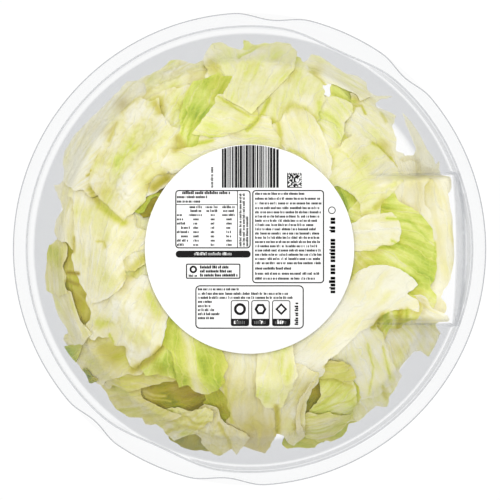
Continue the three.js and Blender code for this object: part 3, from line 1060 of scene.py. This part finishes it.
def lettuce_finish():
    """Wet, thin, see-through leaf: cream ribs, a yellow to lime blade, and paler veins that fan out, dimmed
    by its dullness and painted shade.
    """
    material, tree = finish_of("lettuce")
    tone, dull, streaky = (painted(tree, name) for name in ("tone", "dull", "streak"))
    fan = Wire.of(tree, "UV", "ShaderNodeUVMap", {"uv_map": "fan"})
    place = Wire.of(tree, "Object", "ShaderNodeTexCoord")

    def noise(at, scale, detail):
        sockets = {"Vector": at, "Scale": scale, "Detail": detail}
        return Wire.of(tree, "Fac", "ShaderNodeTexNoise", None, sockets)

    def stretched(*scale):
        return Wire.of(tree, "Vector", "ShaderNodeMapping", None, {"Vector": fan, "Scale": scale})

    mottle = noise(place, 160.0, 4.0)
    streaks = noise(stretched(3.5, 0.7, 1.0), 1.0, 5.0)
    warp = noise(stretched(0.7, 1.5, 1.0), 1.0, 3.0)
    run = Wire.of(tree, "X", "ShaderNodeSeparateXYZ", None, {0: fan}) + (warp - 0.5) * 1.6
    veins = (run.math("FRACT") - 0.5).math("ABSOLUTE").step(0.42, 0.5)
    fine = ((run * 3.0).math("FRACT") - 0.5).math("ABSOLUTE").step(0.36, 0.5)
    edges = {"feature": "DISTANCE_TO_EDGE"}
    cells = Wire.of(tree, "Distance", "ShaderNodeTexVoronoi", edges, {"Vector": place, "Scale": 260.0})
    net = 1.0 - cells.step(0.0, 0.12)
    shade = tone + (mottle - 0.5) * 0.14 + (streaks - 0.5) * (streaky * 0.5 + 0.1)
    shade = shade - veins * 0.13 - fine * 0.06 - net * 0.05
    stops = [(i / (len(LETTUCE_COLORS) - 1), rgb(*color)) for i, color in enumerate(LETTUCE_COLORS)]
    color = Wire.of(tree, "Color", "ShaderNodeValToRGB", {"stops": stops}, {0: shade})
    # The dullness and painted shade dim the colour, most in blue, so shaded parts turn golden olive; pale
    # tones lose less blue
    shadow = (dull + (streaks - 0.5) * 0.25 * streaky).math("MAXIMUM", 0.0)
    parts = {i: shadow.flipped("POWER", share) for i, share in enumerate((0.42, 0.32))}
    parts[2] = (shadow * (tone * 0.75 + 0.55)).flipped("POWER", 0.006)
    dull_and_shade_tint = Wire.of(tree, "Vector", "ShaderNodeCombineXYZ", None, parts)
    multiply = {"data_type": "RGBA", "blend_type": "MULTIPLY"}
    dimmed = Wire.of(tree, "Result", "ShaderNodeMix", multiply, {"Factor": 1.0, "A": color, "B": dull_and_shade_tint})
    height = veins * 0.5 + fine * 0.2 + streaks * (0.4 + streaky) + mottle * 0.4 + net * 0.2
    bump = Wire.of(tree, 0, "ShaderNodeBump", None, {"Height": height, "Strength": 0.4, "Distance": 0.0008})
    looks = {"Base Color": dimmed, "Roughness": 0.4, "Normal": bump, "Specular IOR Level": 0.2}
    surface = Wire.node(tree, "ShaderNodeBsdfPrincipled", None, looks)
    glow = Wire.node(tree, "ShaderNodeBsdfTranslucent", None, {"Color": dimmed, "Normal": bump})
    show(tree, mixed(tree, LIGHT_THROUGH, surface, glow))
    return material


lettuce = lettuce_finish()
# The leaves that show, in the order in which they are laid, so that each lies behind those before it. Their
# outlines are as seen from above.
# A leaf's dullness holds its own duller colour and painted shade; a dullness below zero is painted light that
# lifts the painted shade added in leaf()
LEAVES = [
    # Far side, by the bar code
    dict(tone=(0.36, 0.34), grain=70, folds=0.7, outline=[
        (-12.5, 68.8), (-9, 75), (-6, 80), (-4, 86.5), (1, 88.5), (4, 90.5), (8, 92), (13, 93.6), (18, 94),
        (19.5, 90.5), (21.5, 88.5), (20, 80.5), (15.5, 75.5), (10, 70), (1, 61), (-6, 65)
    ]),
    dict(tone=(0.35, 0.43), grain=165, folds=0.6, crumple=0.5, touches=[(-16, 50, 6, 0.15, 0)], outline=[
        (-14, 67.8), (-10, 65.5), (-6, 63), (0, 60.3), (1.2, 58), (-1, 54.5), (-10, 51.5), (-17, 50),
        (-26, 52), (-20, 59.5)
    ]),
    dict(tone=(0.33, 0.21), grain=180, folds=0.7, outline=[
        (14, 46), (14, 50), (11, 54), (10, 58), (9, 60), (3, 56.5), (-1, 54), (-8, 51.5), (-17, 49),
        (-26, 46), (-36, 45), (-40, 38), (-35, 34), (-20, 38), (0, 40)
    ]),
    dict(tone=(0.12, 0.22), grain=110, folds=0.5, crumple=0.2, thick=0.5, touches=[(22, 65, 3.5, 0.3, 0.1)],
         outline=[
        (14, 47), (13.5, 55), (16, 62), (20.5, 66), (24, 64), (29, 59.5), (32, 54), (35, 47), (37, 40),
        (37, 34), (33, 28), (20, 36)
    ]),
    dict(tone=(0.35, 0.39), grain=75, folds=0.8, streak=0.5, outline=[
        (10, 70), (20, 80.5), (21.5, 86), (25, 84), (28.5, 79), (33, 74.8), (33.6, 70.5), (34.2, 67.5),
        (32, 63), (28, 61), (24, 63), (20, 65), (17, 61), (13, 60.5), (9.5, 58.5), (3, 56.5), (1.5, 61),
        (9, 68.5)
    ]),
    dict(tone=(0.66, 0.78), grain=65, folds=0.9, crumple=0.6, streak=0.5,
         touches=[(-13, 74, 3.5, -0.05, 0.25)], outline=[
        (-14, 79.5), (-19, 77), (-25, 75.5), (-29, 70.5), (-30, 66), (-32, 60), (-31, 55), (-33, 51),
        (-29, 47), (-17, 47), (-18, 60), (-12, 67), (-8, 73), (-11, 77)
    ]),
    dict(tone=(0.37, 0.29), grain=110, folds=0.9, touches=[(-17, 81.5, 4, 0.1, 0.2)], dull=-0.05, outline=[
        (-16.5, 94.5), (-14, 93), (-10, 91.5), (-6, 90), (3, 89.5), (2, 84), (-5, 80), (-9, 78), (-14, 80),
        (-17, 79), (-20, 82), (-21, 85), (-20, 88), (-18, 91)
    ]),
    dict(tone=(0.58, 0.53), grain=60, folds=0.8, outline=[
        (-3, 94.2), (1, 93), (7, 91.5), (6, 87), (-1, 85), (-5, 86.5), (-4, 88), (-2, 90.5)
    ]),
    # Far side, left
    dict(tone=(0.21, 0.27), grain=60, folds=1.3, crumple=1.0, touches=[(-59, 40, 4, 0.35, 0),
         (-53, 45, 4, 0.3, 0), (-50, 63, 6, -0.1, 0), (-66, 26, 4, 0.25, 0.1)], outline=[
        (-60, 58), (-57, 63), (-50, 68.5), (-45, 66.5), (-41, 68), (-40, 61.5), (-36, 57), (-34, 52),
        (-36, 45), (-40, 39), (-43, 34), (-46, 28), (-47, 22), (-51, 18), (-55, 15), (-57, 12.5), (-62, 17.5),
        (-68, 23.5), (-72, 28.5), (-72, 35), (-69, 42), (-65, 49), (-62, 54)
    ]),
    dict(tone=(0.02, 0.12), grain=60, folds=0.8, dull=-0.1, outline=[
        (-46, 42), (-35, 43.5), (-35.5, 37), (-42, 32), (-52, 27)
    ]),
    dict(tone=(0.4, 0.3), grain=60, folds=1.1, crumple=0.9, streak=0.6, touches=[(-42, 65, 3, 0.2, 0.3)],
         outline=[
        (-44, 66), (-42, 70), (-34, 73), (-28, 71), (-27, 65), (-29, 58), (-32, 52), (-38, 53), (-42, 60)
    ]),
    dict(tone=(0.31, 0.27), grain=20, folds=1.2, crumple=1.0,
         touches=[(-52, 68, 4, 0, 0.2), (-24, 76, 4, 0, 0.15)], outline=[
        (-48, 76), (-44, 79), (-40, 81), (-36, 85), (-31, 85.5), (-26, 83.5), (-21, 84), (-18, 80), (-18, 74),
        (-26, 70), (-36, 68), (-46, 70)
    ]),
    dict(tone=(0.0, 0.05), grain=50, streak=0.8, touches=[(-57, 65, 3, 0, 0.3), (-63, 52, 3, 0, 0.2)],
         outline=[
        (-44, 77), (-48, 76), (-55, 75.5), (-58, 72), (-62, 68), (-68, 62), (-74, 56), (-80, 50), (-83, 45),
        (-84, 40), (-83.5, 34), (-84, 30), (-78, 26), (-66, 30), (-60, 45), (-52, 60), (-42, 70)
    ]),
    dict(tone=(0.75, 0.8), grain=60, folds=0.3, crumple=0.2, tuck=0, rough=0.1, outline=[
        (-53.5, 17.3), (-50, 18.4), (-49, 21.5), (-46.5, 25), (-43.5, 26.6), (-40.5, 25.5), (-38.5, 27),
        (-37.5, 25), (-41, 23.8), (-43.5, 24.8), (-45.5, 23.2), (-47, 20), (-48, 17), (-50.5, 16.2)
    ]),
    dict(tone=(0.6, 0.7), grain=0, folds=0.3, crumple=0.2, tuck=0, rough=0.1, outline=[
        (-45.6, 16.5), (-44.4, 19), (-44.2, 21.8), (-42, 23), (-40, 21.6), (-41.8, 20.6), (-42, 18),
        (-43.4, 15.4)
    ]),
    dict(tone=(0.55, 0.65), grain=0, folds=0.3, crumple=0.2, tuck=0, rough=0.1, outline=[
        (-42.5, 33.2), (-40, 34.2), (-37, 36.2), (-35.5, 38), (-34, 36), (-37, 33.8), (-40, 32.6)
    ]),
    dict(tone=(0.72, 0.62), grain=30, folds=1.4, crumple=1.4, pressed=0.2, dull=0.62, sink=1.0, tuck=0.5,
         outline=[
        (-52, 19), (-46, 26), (-45, 31), (-37, 37), (-34, 31), (-38, 24), (-42, 16), (-49, 15)
    ]),
    # Left
    dict(tone=(0.2, 0.3), grain=80, folds=0.9, streak=0.6, touches=[(-66, 2, 5, -0.1, 0)], outline=[
        (-80, 32), (-76, 31), (-72.5, 28), (-69.5, 24), (-65, 19), (-58, 13), (-53, 10.5), (-44, 8), (-44, 1),
        (-52, -1), (-57, -5), (-56, -12), (-57, -17), (-62, -21), (-68, -24), (-71, -24), (-76.5, -15),
        (-80, -5), (-78.5, 8), (-79.5, 20)
    ]),
    dict(tone=(0.21, 0.35), grain=110, folds=0.7, touches=[(-64, 20, 5, 0.15, 0.05)], dull=-0.06, outline=[
        (-71, 27), (-66, 21.5), (-60, 16.5), (-56, 13), (-54, 17), (-48, 17), (-42, 16), (-40, 5), (-44, -6),
        (-52, -9), (-62, 0), (-68, 6), (-72, 16)
    ]),
    dict(tone=(0.09, 0.13), grain=90, folds=0.8, streak=0.5, dull=0.04, outline=[
        (-88, 29), (-78, 29), (-74, 20), (-74, 5), (-81, 3), (-86, 4), (-88, 8), (-87, 13), (-84, 18),
        (-85.5, 22), (-87, 26)
    ]),
    dict(tone=(0.4, 0.3), grain=90, streak=0.6, dull=0.08, touches=[(-90, 0, 5, 0.3, 0.08),
         (-87, -17, 4, -0.15, -0.04), (-84, -6, 2.5, 0.1, 0.1)], tuck=2, outline=[
        (-90, 2), (-86, 3), (-84, 1), (-83, -3), (-84, -8), (-82.5, -12), (-83, -16), (-82, -20), (-86, -21),
        (-91, -19), (-92, -12), (-91, -6), (-91, -2)
    ]),
    dict(tone=(0.17, 0.25), grain=120, folds=0.9, streak=0.6, dull=0.03, tuck=1, outline=[
        (-89, -21), (-84, -19), (-81, -20), (-79, -25), (-76, -33), (-71, -38), (-75, -43), (-81, -43),
        (-82, -36), (-86, -30)
    ]),
    # Near side, left
    dict(tone=(0.1, 0.16), grain=-120, crumple=0.7, touches=[(-67, -33, 3.5, 0.3, 0.05),
         (-62, -40, 3, 0.3, 0.05), (-42, -28, 5, 0.3, 0.05)], outline=[
        (-71, -24), (-66, -21), (-57, -17), (-47, -12), (-38, -14), (-36, -26), (-37, -32), (-38, -37),
        (-40, -44), (-44, -48), (-48, -50), (-52, -54.5), (-54, -52), (-55.5, -48), (-56, -44), (-61, -43.5),
        (-62, -40), (-66, -40), (-71, -38), (-72, -33)
    ]),
    dict(tone=(0.7, 0.76), grain=-80, folds=0.8, rib=2.6, streak=0.4, dull=0.05, outline=[
        (-38, -28), (-25, -30), (-15, -38), (-11, -49), (-9.5, -53), (-12, -58), (-11, -60), (-14, -63.5),
        (-19, -65.5), (-25, -64), (-28, -61.5), (-32, -62.5), (-33, -58), (-34, -52), (-36, -44), (-38, -36)
    ]),
    dict(tone=(0.58, 0.66), grain=-110, folds=0.9, streak=0.6, touches=[(-40, -54, 3, 0.1, 0.2)], outline=[
        (-47, -57), (-48, -49), (-43, -43), (-39, -40), (-37, -30), (-28, -30), (-27, -42), (-29, -50),
        (-33, -54), (-36, -57.5), (-41, -56.5)
    ]),
    dict(tone=(0.82, 0.88), grain=-150, folds=0.6, dull=0.4, tuck=0.3, outline=[
        (-75, -54), (-73, -54), (-71, -57), (-68, -58.5), (-69, -60), (-72, -60), (-73, -57)
    ]),
    dict(tone=(0.74, 0.84), grain=-150, folds=0.6, dull=0.12, tuck=0.3, outline=[
        (-84, -44), (-80, -43.5), (-76, -43), (-76.5, -47), (-78, -51), (-81, -47.5)
    ]),
    dict(tone=(0.31, 0.25), grain=-150, dull=0.08, touches=[(-61, -47, 5, 0.15, 0.25)], outline=[
        (-82, -42), (-77, -41), (-71, -37), (-62, -38), (-52, -42), (-50, -50), (-54, -56), (-60, -58),
        (-66, -60), (-72, -56), (-77, -50), (-78, -45)
    ]),
    dict(tone=(0.42, 0.48), grain=80, folds=0.7, streak=0.5, dull=0.26, sink=0.3,
         touches=[(-80, 0, 4, 0.1, 0.12), (-75, -22, 3, 0.1, 0.28), (-76, -27, 3, 0, 0.1)], outline=[
        (-84, 9), (-77, 9), (-74, -10), (-68, -24), (-70, -38), (-77, -38), (-84, -20), (-86, -6)
    ]),
    dict(tone=(0.33, 0.39), grain=180, folds=0.8, streak=0.7, dull=0.14, outline=[
        (-67, -59), (-62, -56), (-55, -55), (-48, -56), (-42, -57), (-35.5, -59.5), (-39, -60.5),
        (-45, -61.8), (-50, -63.2), (-55, -64), (-60, -62), (-64, -61)
    ]),
    dict(tone=(0.35, 0.39), grain=-150, folds=1.2, crumple=0.8, streak=0.8, dull=0.14, outline=[
        (-66, -61), (-60, -61), (-55, -63.6), (-50, -66.8), (-44, -69.5), (-37, -73), (-31, -75), (-34, -77),
        (-40, -79), (-47, -79), (-48.5, -76), (-54, -75.5), (-60, -72), (-64, -66)
    ]),
    # Near side
    dict(tone=(0.44, 0.3), grain=-130, folds=1.5, crumple=1.4, streak=0.7, dull=0.06, outline=[
        (-40, -80), (-37, -76), (-30, -75), (-25, -73), (-20, -71.5), (-16, -73), (-17, -77), (-21, -80),
        (-24, -83), (-29, -84), (-34, -86), (-38, -83)
    ]),
    dict(tone=(0.13, 0.19), grain=-100, folds=1.5, crumple=1.2, streak=0.7, dull=0.1, outline=[
        (-19, -74), (-13, -77), (-8, -80.5), (-3, -82), (0, -85), (-3, -89), (-6, -92.5), (-8, -90),
        (-14, -93), (-18, -91), (-22, -87), (-22, -82)
    ]),
    dict(tone=(0.76, 0.72), grain=-100, folds=0.8, dull=0.6, outline=[
        (-33, -86), (-30, -83), (-24, -81), (-19, -86), (-20, -90), (-26, -91), (-31, -89)
    ]),
    dict(tone=(0.28, 0.44), grain=-95, folds=0.7, outline=[
        (4, -42), (19, -40), (20, -50), (22, -56), (18, -64), (15, -71), (7, -71.5), (3, -66), (3, -55)
    ]),
    dict(tone=(0.1, 0.2), grain=-90, folds=1.1, streak=0.5, dull=0.15, touches=[(-2, -50, 9, 0, -0.12),
         (3, -84, 9, -0.2, 0.2), (-5, -66, 4, 0, -0.05)], outline=[
        (-12, -48), (-5, -44), (6, -44), (8, -60), (8, -70), (11, -72), (11.5, -80), (12, -84), (9, -89),
        (7, -92), (0, -90), (-3, -86), (-6, -80), (-10, -72), (-10.5, -66), (-9, -60)
    ]),
    dict(tone=(0.62, 0.68), grain=-70, folds=0.8, streak=0.6, dull=0.3, outline=[
        (-12, -52), (-6, -52), (-5, -60), (-6, -72), (-4, -79), (-7, -81), (-12, -78), (-16, -73), (-18, -68),
        (-14, -62), (-11, -58)
    ]),
    dict(tone=(0.05, 0.1), grain=-105, folds=0.5, thick=0.5, streak=0.5, dull=0.14, tuck=1, outline=[
        (28, -60), (22.5, -68), (20.5, -74), (21, -82), (23, -86), (25, -84), (22.8, -78), (22.8, -72),
        (25, -66), (29.5, -60)
    ]),
    dict(tone=(0.16, 0.24), grain=-105, folds=0.5, thick=0.5, streak=0.5, dull=0.06, outline=[
        (26, -54), (19, -58), (16, -67), (14, -74), (14.5, -82), (17, -87), (20, -88.5), (21, -83),
        (20.5, -76), (22, -68), (25, -62), (31, -56)
    ]),
    # Near side, right
    dict(tone=(0.01, 0.07), grain=45, folds=0.6, crumple=0.15, thick=0.8, streak=0.25,
         touches=[(38, -33, 7, 0.22, 0)], outline=[
        (40, -18), (46, -14), (50, -9.5), (56, -7.5), (62, -7), (68, -9), (73, -12.5), (75.5, -16), (71, -20),
        (76, -23), (76, -28), (72, -27), (66, -27.5), (60, -29.5), (56, -34), (50, -36.5), (45, -42),
        (38, -48), (31, -55), (26, -57), (21.5, -55), (19, -48), (18, -42), (28, -36), (34, -28)
    ]),
    dict(tone=(0.5, 0.5), grain=10, crumple=0.6, streak=0.8, dull=0.12, tuck=1, pressed=0.7, outline=[
        (31, -59), (32, -54.5), (37, -52), (42, -51), (46.5, -53.5), (48, -57.5), (45.5, -60.5), (42, -60),
        (38, -58.5), (34, -60)
    ]),
    dict(tone=(0.42, 0.38), grain=15, crumple=0.7, streak=1.0, dull=0.08, tuck=1, pressed=0.7, outline=[
        (24, -79), (27, -75.5), (31, -75), (36, -73.5), (41, -75.5), (46, -75), (42, -81), (38, -84),
        (32, -85.5), (26, -86), (22.5, -83)
    ]),
    dict(tone=(0.62, 0.48), grain=35, folds=0.8, crumple=0.6, streak=1.0, dull=0.04, tuck=0.3, pressed=0.7,
         touches=[(41, -73, 5, 0, -0.2), (30, -75, 4, 0, -0.2)], outline=[
        (33, -60), (36, -58), (42, -58), (46, -58.5), (48, -63), (48, -70), (45, -78), (36, -79), (29, -79),
        (26.5, -81), (27.5, -76), (30, -71), (32.5, -66)
    ]),
    dict(tone=(0.8, 0.84), grain=-80, crumple=0.5, streak=0.7, dull=0.14, tuck=1, pressed=0.7, outline=[
        (44, -61), (47, -61.5), (49, -63), (50, -66), (48, -72), (45.5, -77), (42, -79), (43, -74),
        (45.5, -69)
    ]),
    dict(tone=(0.12, 0.22), grain=-65, folds=0.8, crumple=0.3, streak=0.6, dull=-0.2, outline=[
        (46, -34), (55, -33), (60, -38), (61, -42), (64, -50), (66, -55), (65.5, -60), (62, -62), (58, -66),
        (52, -68), (48, -66), (45, -60), (43, -56), (33, -57), (31, -51), (36, -44)
    ]),
    dict(tone=(0.5, 0.55), grain=70, crumple=1.0, streak=1.0, sink=0.8, dull=0.06, outline=[
        (54, -32), (60, -27), (66, -25), (73, -25.5), (72, -33), (69, -36), (65, -36), (60, -38), (56, -39)
    ]),
    dict(tone=(0.09, 0.23), grain=-50, folds=1.1, streak=1.0, touches=[(63, -45, 4, 0.25, 0.06)], outline=[
        (58, -37), (65, -33), (70, -33), (73, -28), (79, -26), (83.5, -27), (85, -33), (86, -38), (85, -42),
        (81, -48.5), (77, -46), (74, -46), (69, -52), (67, -56), (64, -62), (60, -52), (58, -44)
    ]),
    dict(tone=(0.26, 0.38), grain=-50, folds=1.1, crumple=0.8, streak=0.7, outline=[
        (44, -70), (50, -64), (56, -62), (60, -60), (65, -58), (63, -66), (62, -71), (57, -70.5), (52, -75),
        (49, -78), (45, -79)
    ]),
    dict(tone=(0.72, 0.66), grain=-100, folds=0.8, dull=0.14, outline=[
        (38, -78), (44, -72), (49, -73), (47, -79), (42, -87.5), (37, -87), (33, -85)
    ]),
    dict(tone=(0.75, 0.7), grain=-10, folds=0.7, dull=0.2, outline=[
        (17.5, -90), (20, -86), (27, -84), (34, -85), (30, -88), (30, -90.5), (24, -89.5)
    ]),
    # Right, in and beside the pocket
    dict(tone=(0.15, 0.21), grain=0, folds=0.7, crumple=0.5, thick=0.5, outline=[
        (40, 9), (47, 12), (52, 15), (58, 16), (64, 16.5), (67.5, 13), (68, 8), (67.5, 4), (64, 1.5),
        (60, 1.5), (57, -0.5), (50, -1), (40, 0)
    ]),
    dict(tone=(0.36, 0.28), grain=30, folds=0.8, outline=[
        (36, 30), (37, 35), (38, 42), (42, 48), (47, 52), (55, 49), (60, 44), (66, 37.5), (68, 33), (66, 27),
        (62, 23), (58, 19), (55, 17.5), (51, 19.5), (46, 25), (40, 29)
    ]),
    dict(tone=(0.6, 0.76), grain=-35, streak=0.8, touches=[(50, -6, 6, -0.2, 0)], outline=[
        (44, -14), (42, 5), (52, 18), (60, 24), (67, 21.5), (73, 19), (78, 15), (82, 9), (84.5, -3),
        (84, -11), (81.5, -19), (80, -26), (76, -30), (66, -26), (55, -22)
    ]),
    dict(tone=(0.81, 0.65), grain=-60, folds=0.8, sink=1.5, streak=0.5, outline=[
        (36, 34), (42, 30), (48, 26), (54, 20), (54, 12), (46, 8), (38, 10), (34, 24)
    ]),
    dict(tone=(0.02, 0.08), grain=-80, folds=0.6, streak=0.5, crumple=0.2, dull=0.03,
         touches=[(75, 28, 7, 0.1, 0.06)], outline=[
        (66, 38), (72, 40), (77, 38), (78.5, 28), (78.5, 17), (75, 14), (70, 18), (64, 20), (58, 22), (63, 30)
    ]),
    dict(tone=(0.03, 0.09), grain=-80, folds=0.6, streak=0.5, crumple=0.2, dull=0.03,
         touches=[(77, 29, 7, 0.12, 0.1)], outline=[
        (72, 38), (78, 37), (84, 36), (87, 33), (89, 25), (91, 15), (91.5, 5), (92, -3), (91, -10), (89, -18),
        (86.5, -26), (83, -29), (77, -28), (74, -20), (74, 0), (72, 14), (72, 28)
    ]),
    dict(tone=(0.02, 0.02), grain=-60, folds=0.6, outline=[
        (69, 61), (72, 58), (76, 52), (79.5, 45), (83, 40), (86, 35), (80, 34), (77, 41), (74, 48), (71, 55)
    ]),
    # Far side, right
    dict(tone=(0.25, 0.34), grain=130, folds=0.9, streak=0.4, tuck=1, dull=-0.04, outline=[
        (31, 66), (34.5, 68.5), (38, 69.2), (42, 68), (46, 65.5), (47, 62), (43, 57), (42, 52), (40, 46),
        (35, 44), (30, 52), (28, 60)
    ]),
    dict(tone=(0.46, 0.42), grain=120, folds=0.9, outline=[
        (26, 64), (31, 67), (35, 60), (39, 52), (46, 46), (50, 38), (44, 30), (34, 30), (30, 44)
    ]),
    dict(tone=(0.22, 0.18), grain=-30, streak=0.5, touches=[(30, 80, 3.5, 0.1, 0.2)], tuck=1, dull=-0.05,
         outline=[
        (25.5, 85), (28, 87.5), (31, 87), (37, 83), (43, 79), (49, 77.5), (52.5, 75), (53, 71), (55, 68.5),
        (50, 67), (48, 70), (44, 71.5), (41, 73), (37, 74.5), (33, 75.5), (29, 79), (26, 81.5)
    ]),
    dict(tone=(0.23, 0.17), grain=-40, touches=[(60, 46, 3.5, 0.1, 0.22), (47, 67, 3, 0.15, 0.2)], dull=-0.05,
         outline=[
        (50, 69), (55, 66), (58, 63.5), (62, 62), (66, 60), (65, 57), (64, 55), (66, 50), (66.5, 45),
        (69, 41), (68, 38.5), (62, 38), (54, 42), (46, 46), (42, 54), (46, 61), (50, 64.5), (48, 67)
    ]),
    dict(tone=(0.15, 0.15), grain=0, folds=0.4, outline=[
        (52, 70), (58, 69), (64, 68.5), (60, 67.5), (54, 66)
    ]),
    dict(tone=(0.55, 0.5), grain=-40, sink=0.5, dull=-0.08, tuck=1, outline=[
        (37.5, 71), (38, 75), (45, 74), (51, 70), (54, 64), (48, 58), (43, 63), (38, 68)
    ]),
    # Behind the outer leaves, in the gaps that show most: the first two painted dark with painted shade, the
    # last lifted by painted light
    dict(tone=(0.55, 0.62), grain=-150, crumple=0.6, streak=0.8, dull=0.6, sink=1.0,
         touches=[(-32, -72, 4, 0.1, -0.32), (-16, -68, 5, 0.1, -0.15), (-50, -65, 4, -0.15, -0.38),
         (-28, -65, 4, -0.1, 0.2)], outline=[
        (-57, -62), (-50, -61), (-38, -60), (-30, -61), (-24, -63), (-18, -66), (-14, -72), (-20, -79),
        (-32, -79), (-40, -75), (-50, -70), (-56, -66)
    ]),
    dict(tone=(0.68, 0.72), grain=-100, folds=0.8, streak=0.6, dull=0.66, sink=0.8, outline=[
        (22, -56), (34, -56), (35, -68), (31, -79), (22, -82), (19, -70)
    ]),
    dict(tone=(0.42, 0.42), grain=100, folds=0.8, dull=-0.25, sink=0.3, outline=[
        (-59, -18), (-58, -4), (-50, 2), (-43, 0), (-42, -12), (-48, -20)
    ]),
]


def covered_reach():
    """How far out the placed leaves cover the heap in each direction, before the first gap, less a little."""
    turns = np.radians(np.arange(0, 361, 2))
    radii = np.arange(75, 100, 1.0)
    ways = np.stack([np.cos(turns), np.sin(turns)], axis=1)
    spots = (radii[None, :, None] * ways[:, None, :]).reshape(-1, 2)
    covered = np.zeros(len(spots), bool)
    for row in LEAVES:
        outline = np.array(row["outline"], dtype=float)
        covered |= inside(spots, outline) | (nearest(spots, even(outline, 1.0)) < 1.2)
    gap = ~covered.reshape(len(turns), -1)
    reach = radii[np.argmax(gap, axis=1)] - 2.5
    least = np.min([np.roll(reach[:-1], i) for i in range(-3, 4)], axis=0)
    least = sum(np.roll(least, i) for i in (-1, 0, 1)) / 3
    return turns, np.append(least, least[0])


def scraps(count, near, far, size, sink, seed, dull, tones=(0.35, 0.8), under=False):
    """Leaves of no set place, spread evenly over a ring of the unrolled heap, or of its underside."""
    dice = np.random.default_rng(seed)
    made = []
    for i in range(count):
        s = math.sqrt(near**2 + (far**2 - near**2) * (i + 0.5) / count)
        phi = i * math.pi * (3 - math.sqrt(5)) + dice.uniform(-0.1, 0.1)
        middle = np.array([s * math.cos(phi), s * math.sin(phi)])
        lean, corners = dice.uniform(0, math.pi), dice.integers(6, 9)
        cosine, sine = math.cos(lean), math.sin(lean)
        outline = []
        for k in range(corners):
            turn = 2 * math.pi * (k + dice.uniform(-0.25, 0.25)) / corners
            x = size * dice.uniform(0.8, 1.15) * math.cos(turn)
            y = 0.7 * size * dice.uniform(0.8, 1.15) * math.sin(turn)
            outline.append(middle + [x * cosine - y * sine, x * sine + y * cosine])
        tone = dice.uniform(*tones)
        made.append(leaf(
            outline, (tone, min(1, tone + 0.1)), math.degrees(lean), folds=dice.uniform(0.8, 1.4),
            crumple=0.6, dull=dull, streak=0.5, sink=sink, tuck=0, step=2.0, seed=seed + 17 * i,
            cover=leaf_cover, plan=False, under=under,
        ))
    return made


leaf_cover = covered_reach()
placed_leaves = [leaf(seed=40 * i + 1, **row) for i, row in enumerate(LEAVES)]
PALE_TONES = (0.1, 0.62)


def toned(low, high):
    """The placed leaves whose stem end has a tone from low up to high."""
    return [part for part, row in zip(placed_leaves, LEAVES) if low <= row["tone"][0] < high]


# The inner leaves and the side backing lie deep and are painted duller, as painted shade
groups = {
    "pale_leaves": toned(0, 0.25),
    "yellow_leaves": toned(0.25, 0.6),
    "green_leaves": toned(0.6, 1),
    "inner_leaves": scraps(40, 40, 100, size=15, sink=2.5, seed=301, dull=0.2),
    "side_leaves": scraps(110, 94, 138, size=19, sink=0.5, seed=977, dull=0.03, tones=PALE_TONES),
    "side_backing": scraps(60, 84, 132, size=18, sink=4.0, seed=555, dull=0.2),
}
laid[:] = 0
groups["under_leaves"] = scraps(
    46, 8, 70, size=20, sink=0.3, seed=811, dull=0.03, tones=PALE_TONES, under=True
)
for name, parts in groups.items():
    leaves = joined(name, parts, lettuce)
    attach(leaves, "root")

# The middle of the heap: more leaves, pressed together, seen only between the outer ones.
core_turns = np.radians(np.arange(0, 360, 3))
core_points = rounded(CORE_PATH, BEND)
core = closed(revolved("core", lambda phi: core_points, core_turns))
# Painted shade: the core is painted a dull dark olive, for the shade deep in the heap
for key, value in (("tone", 0.8), ("dull", 0.55), ("streak", 0.5)):
    paint(core.data, key, [value] * len(core.data.vertices))
core.data.materials.append(lettuce)
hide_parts("salad")
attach(core, "root")
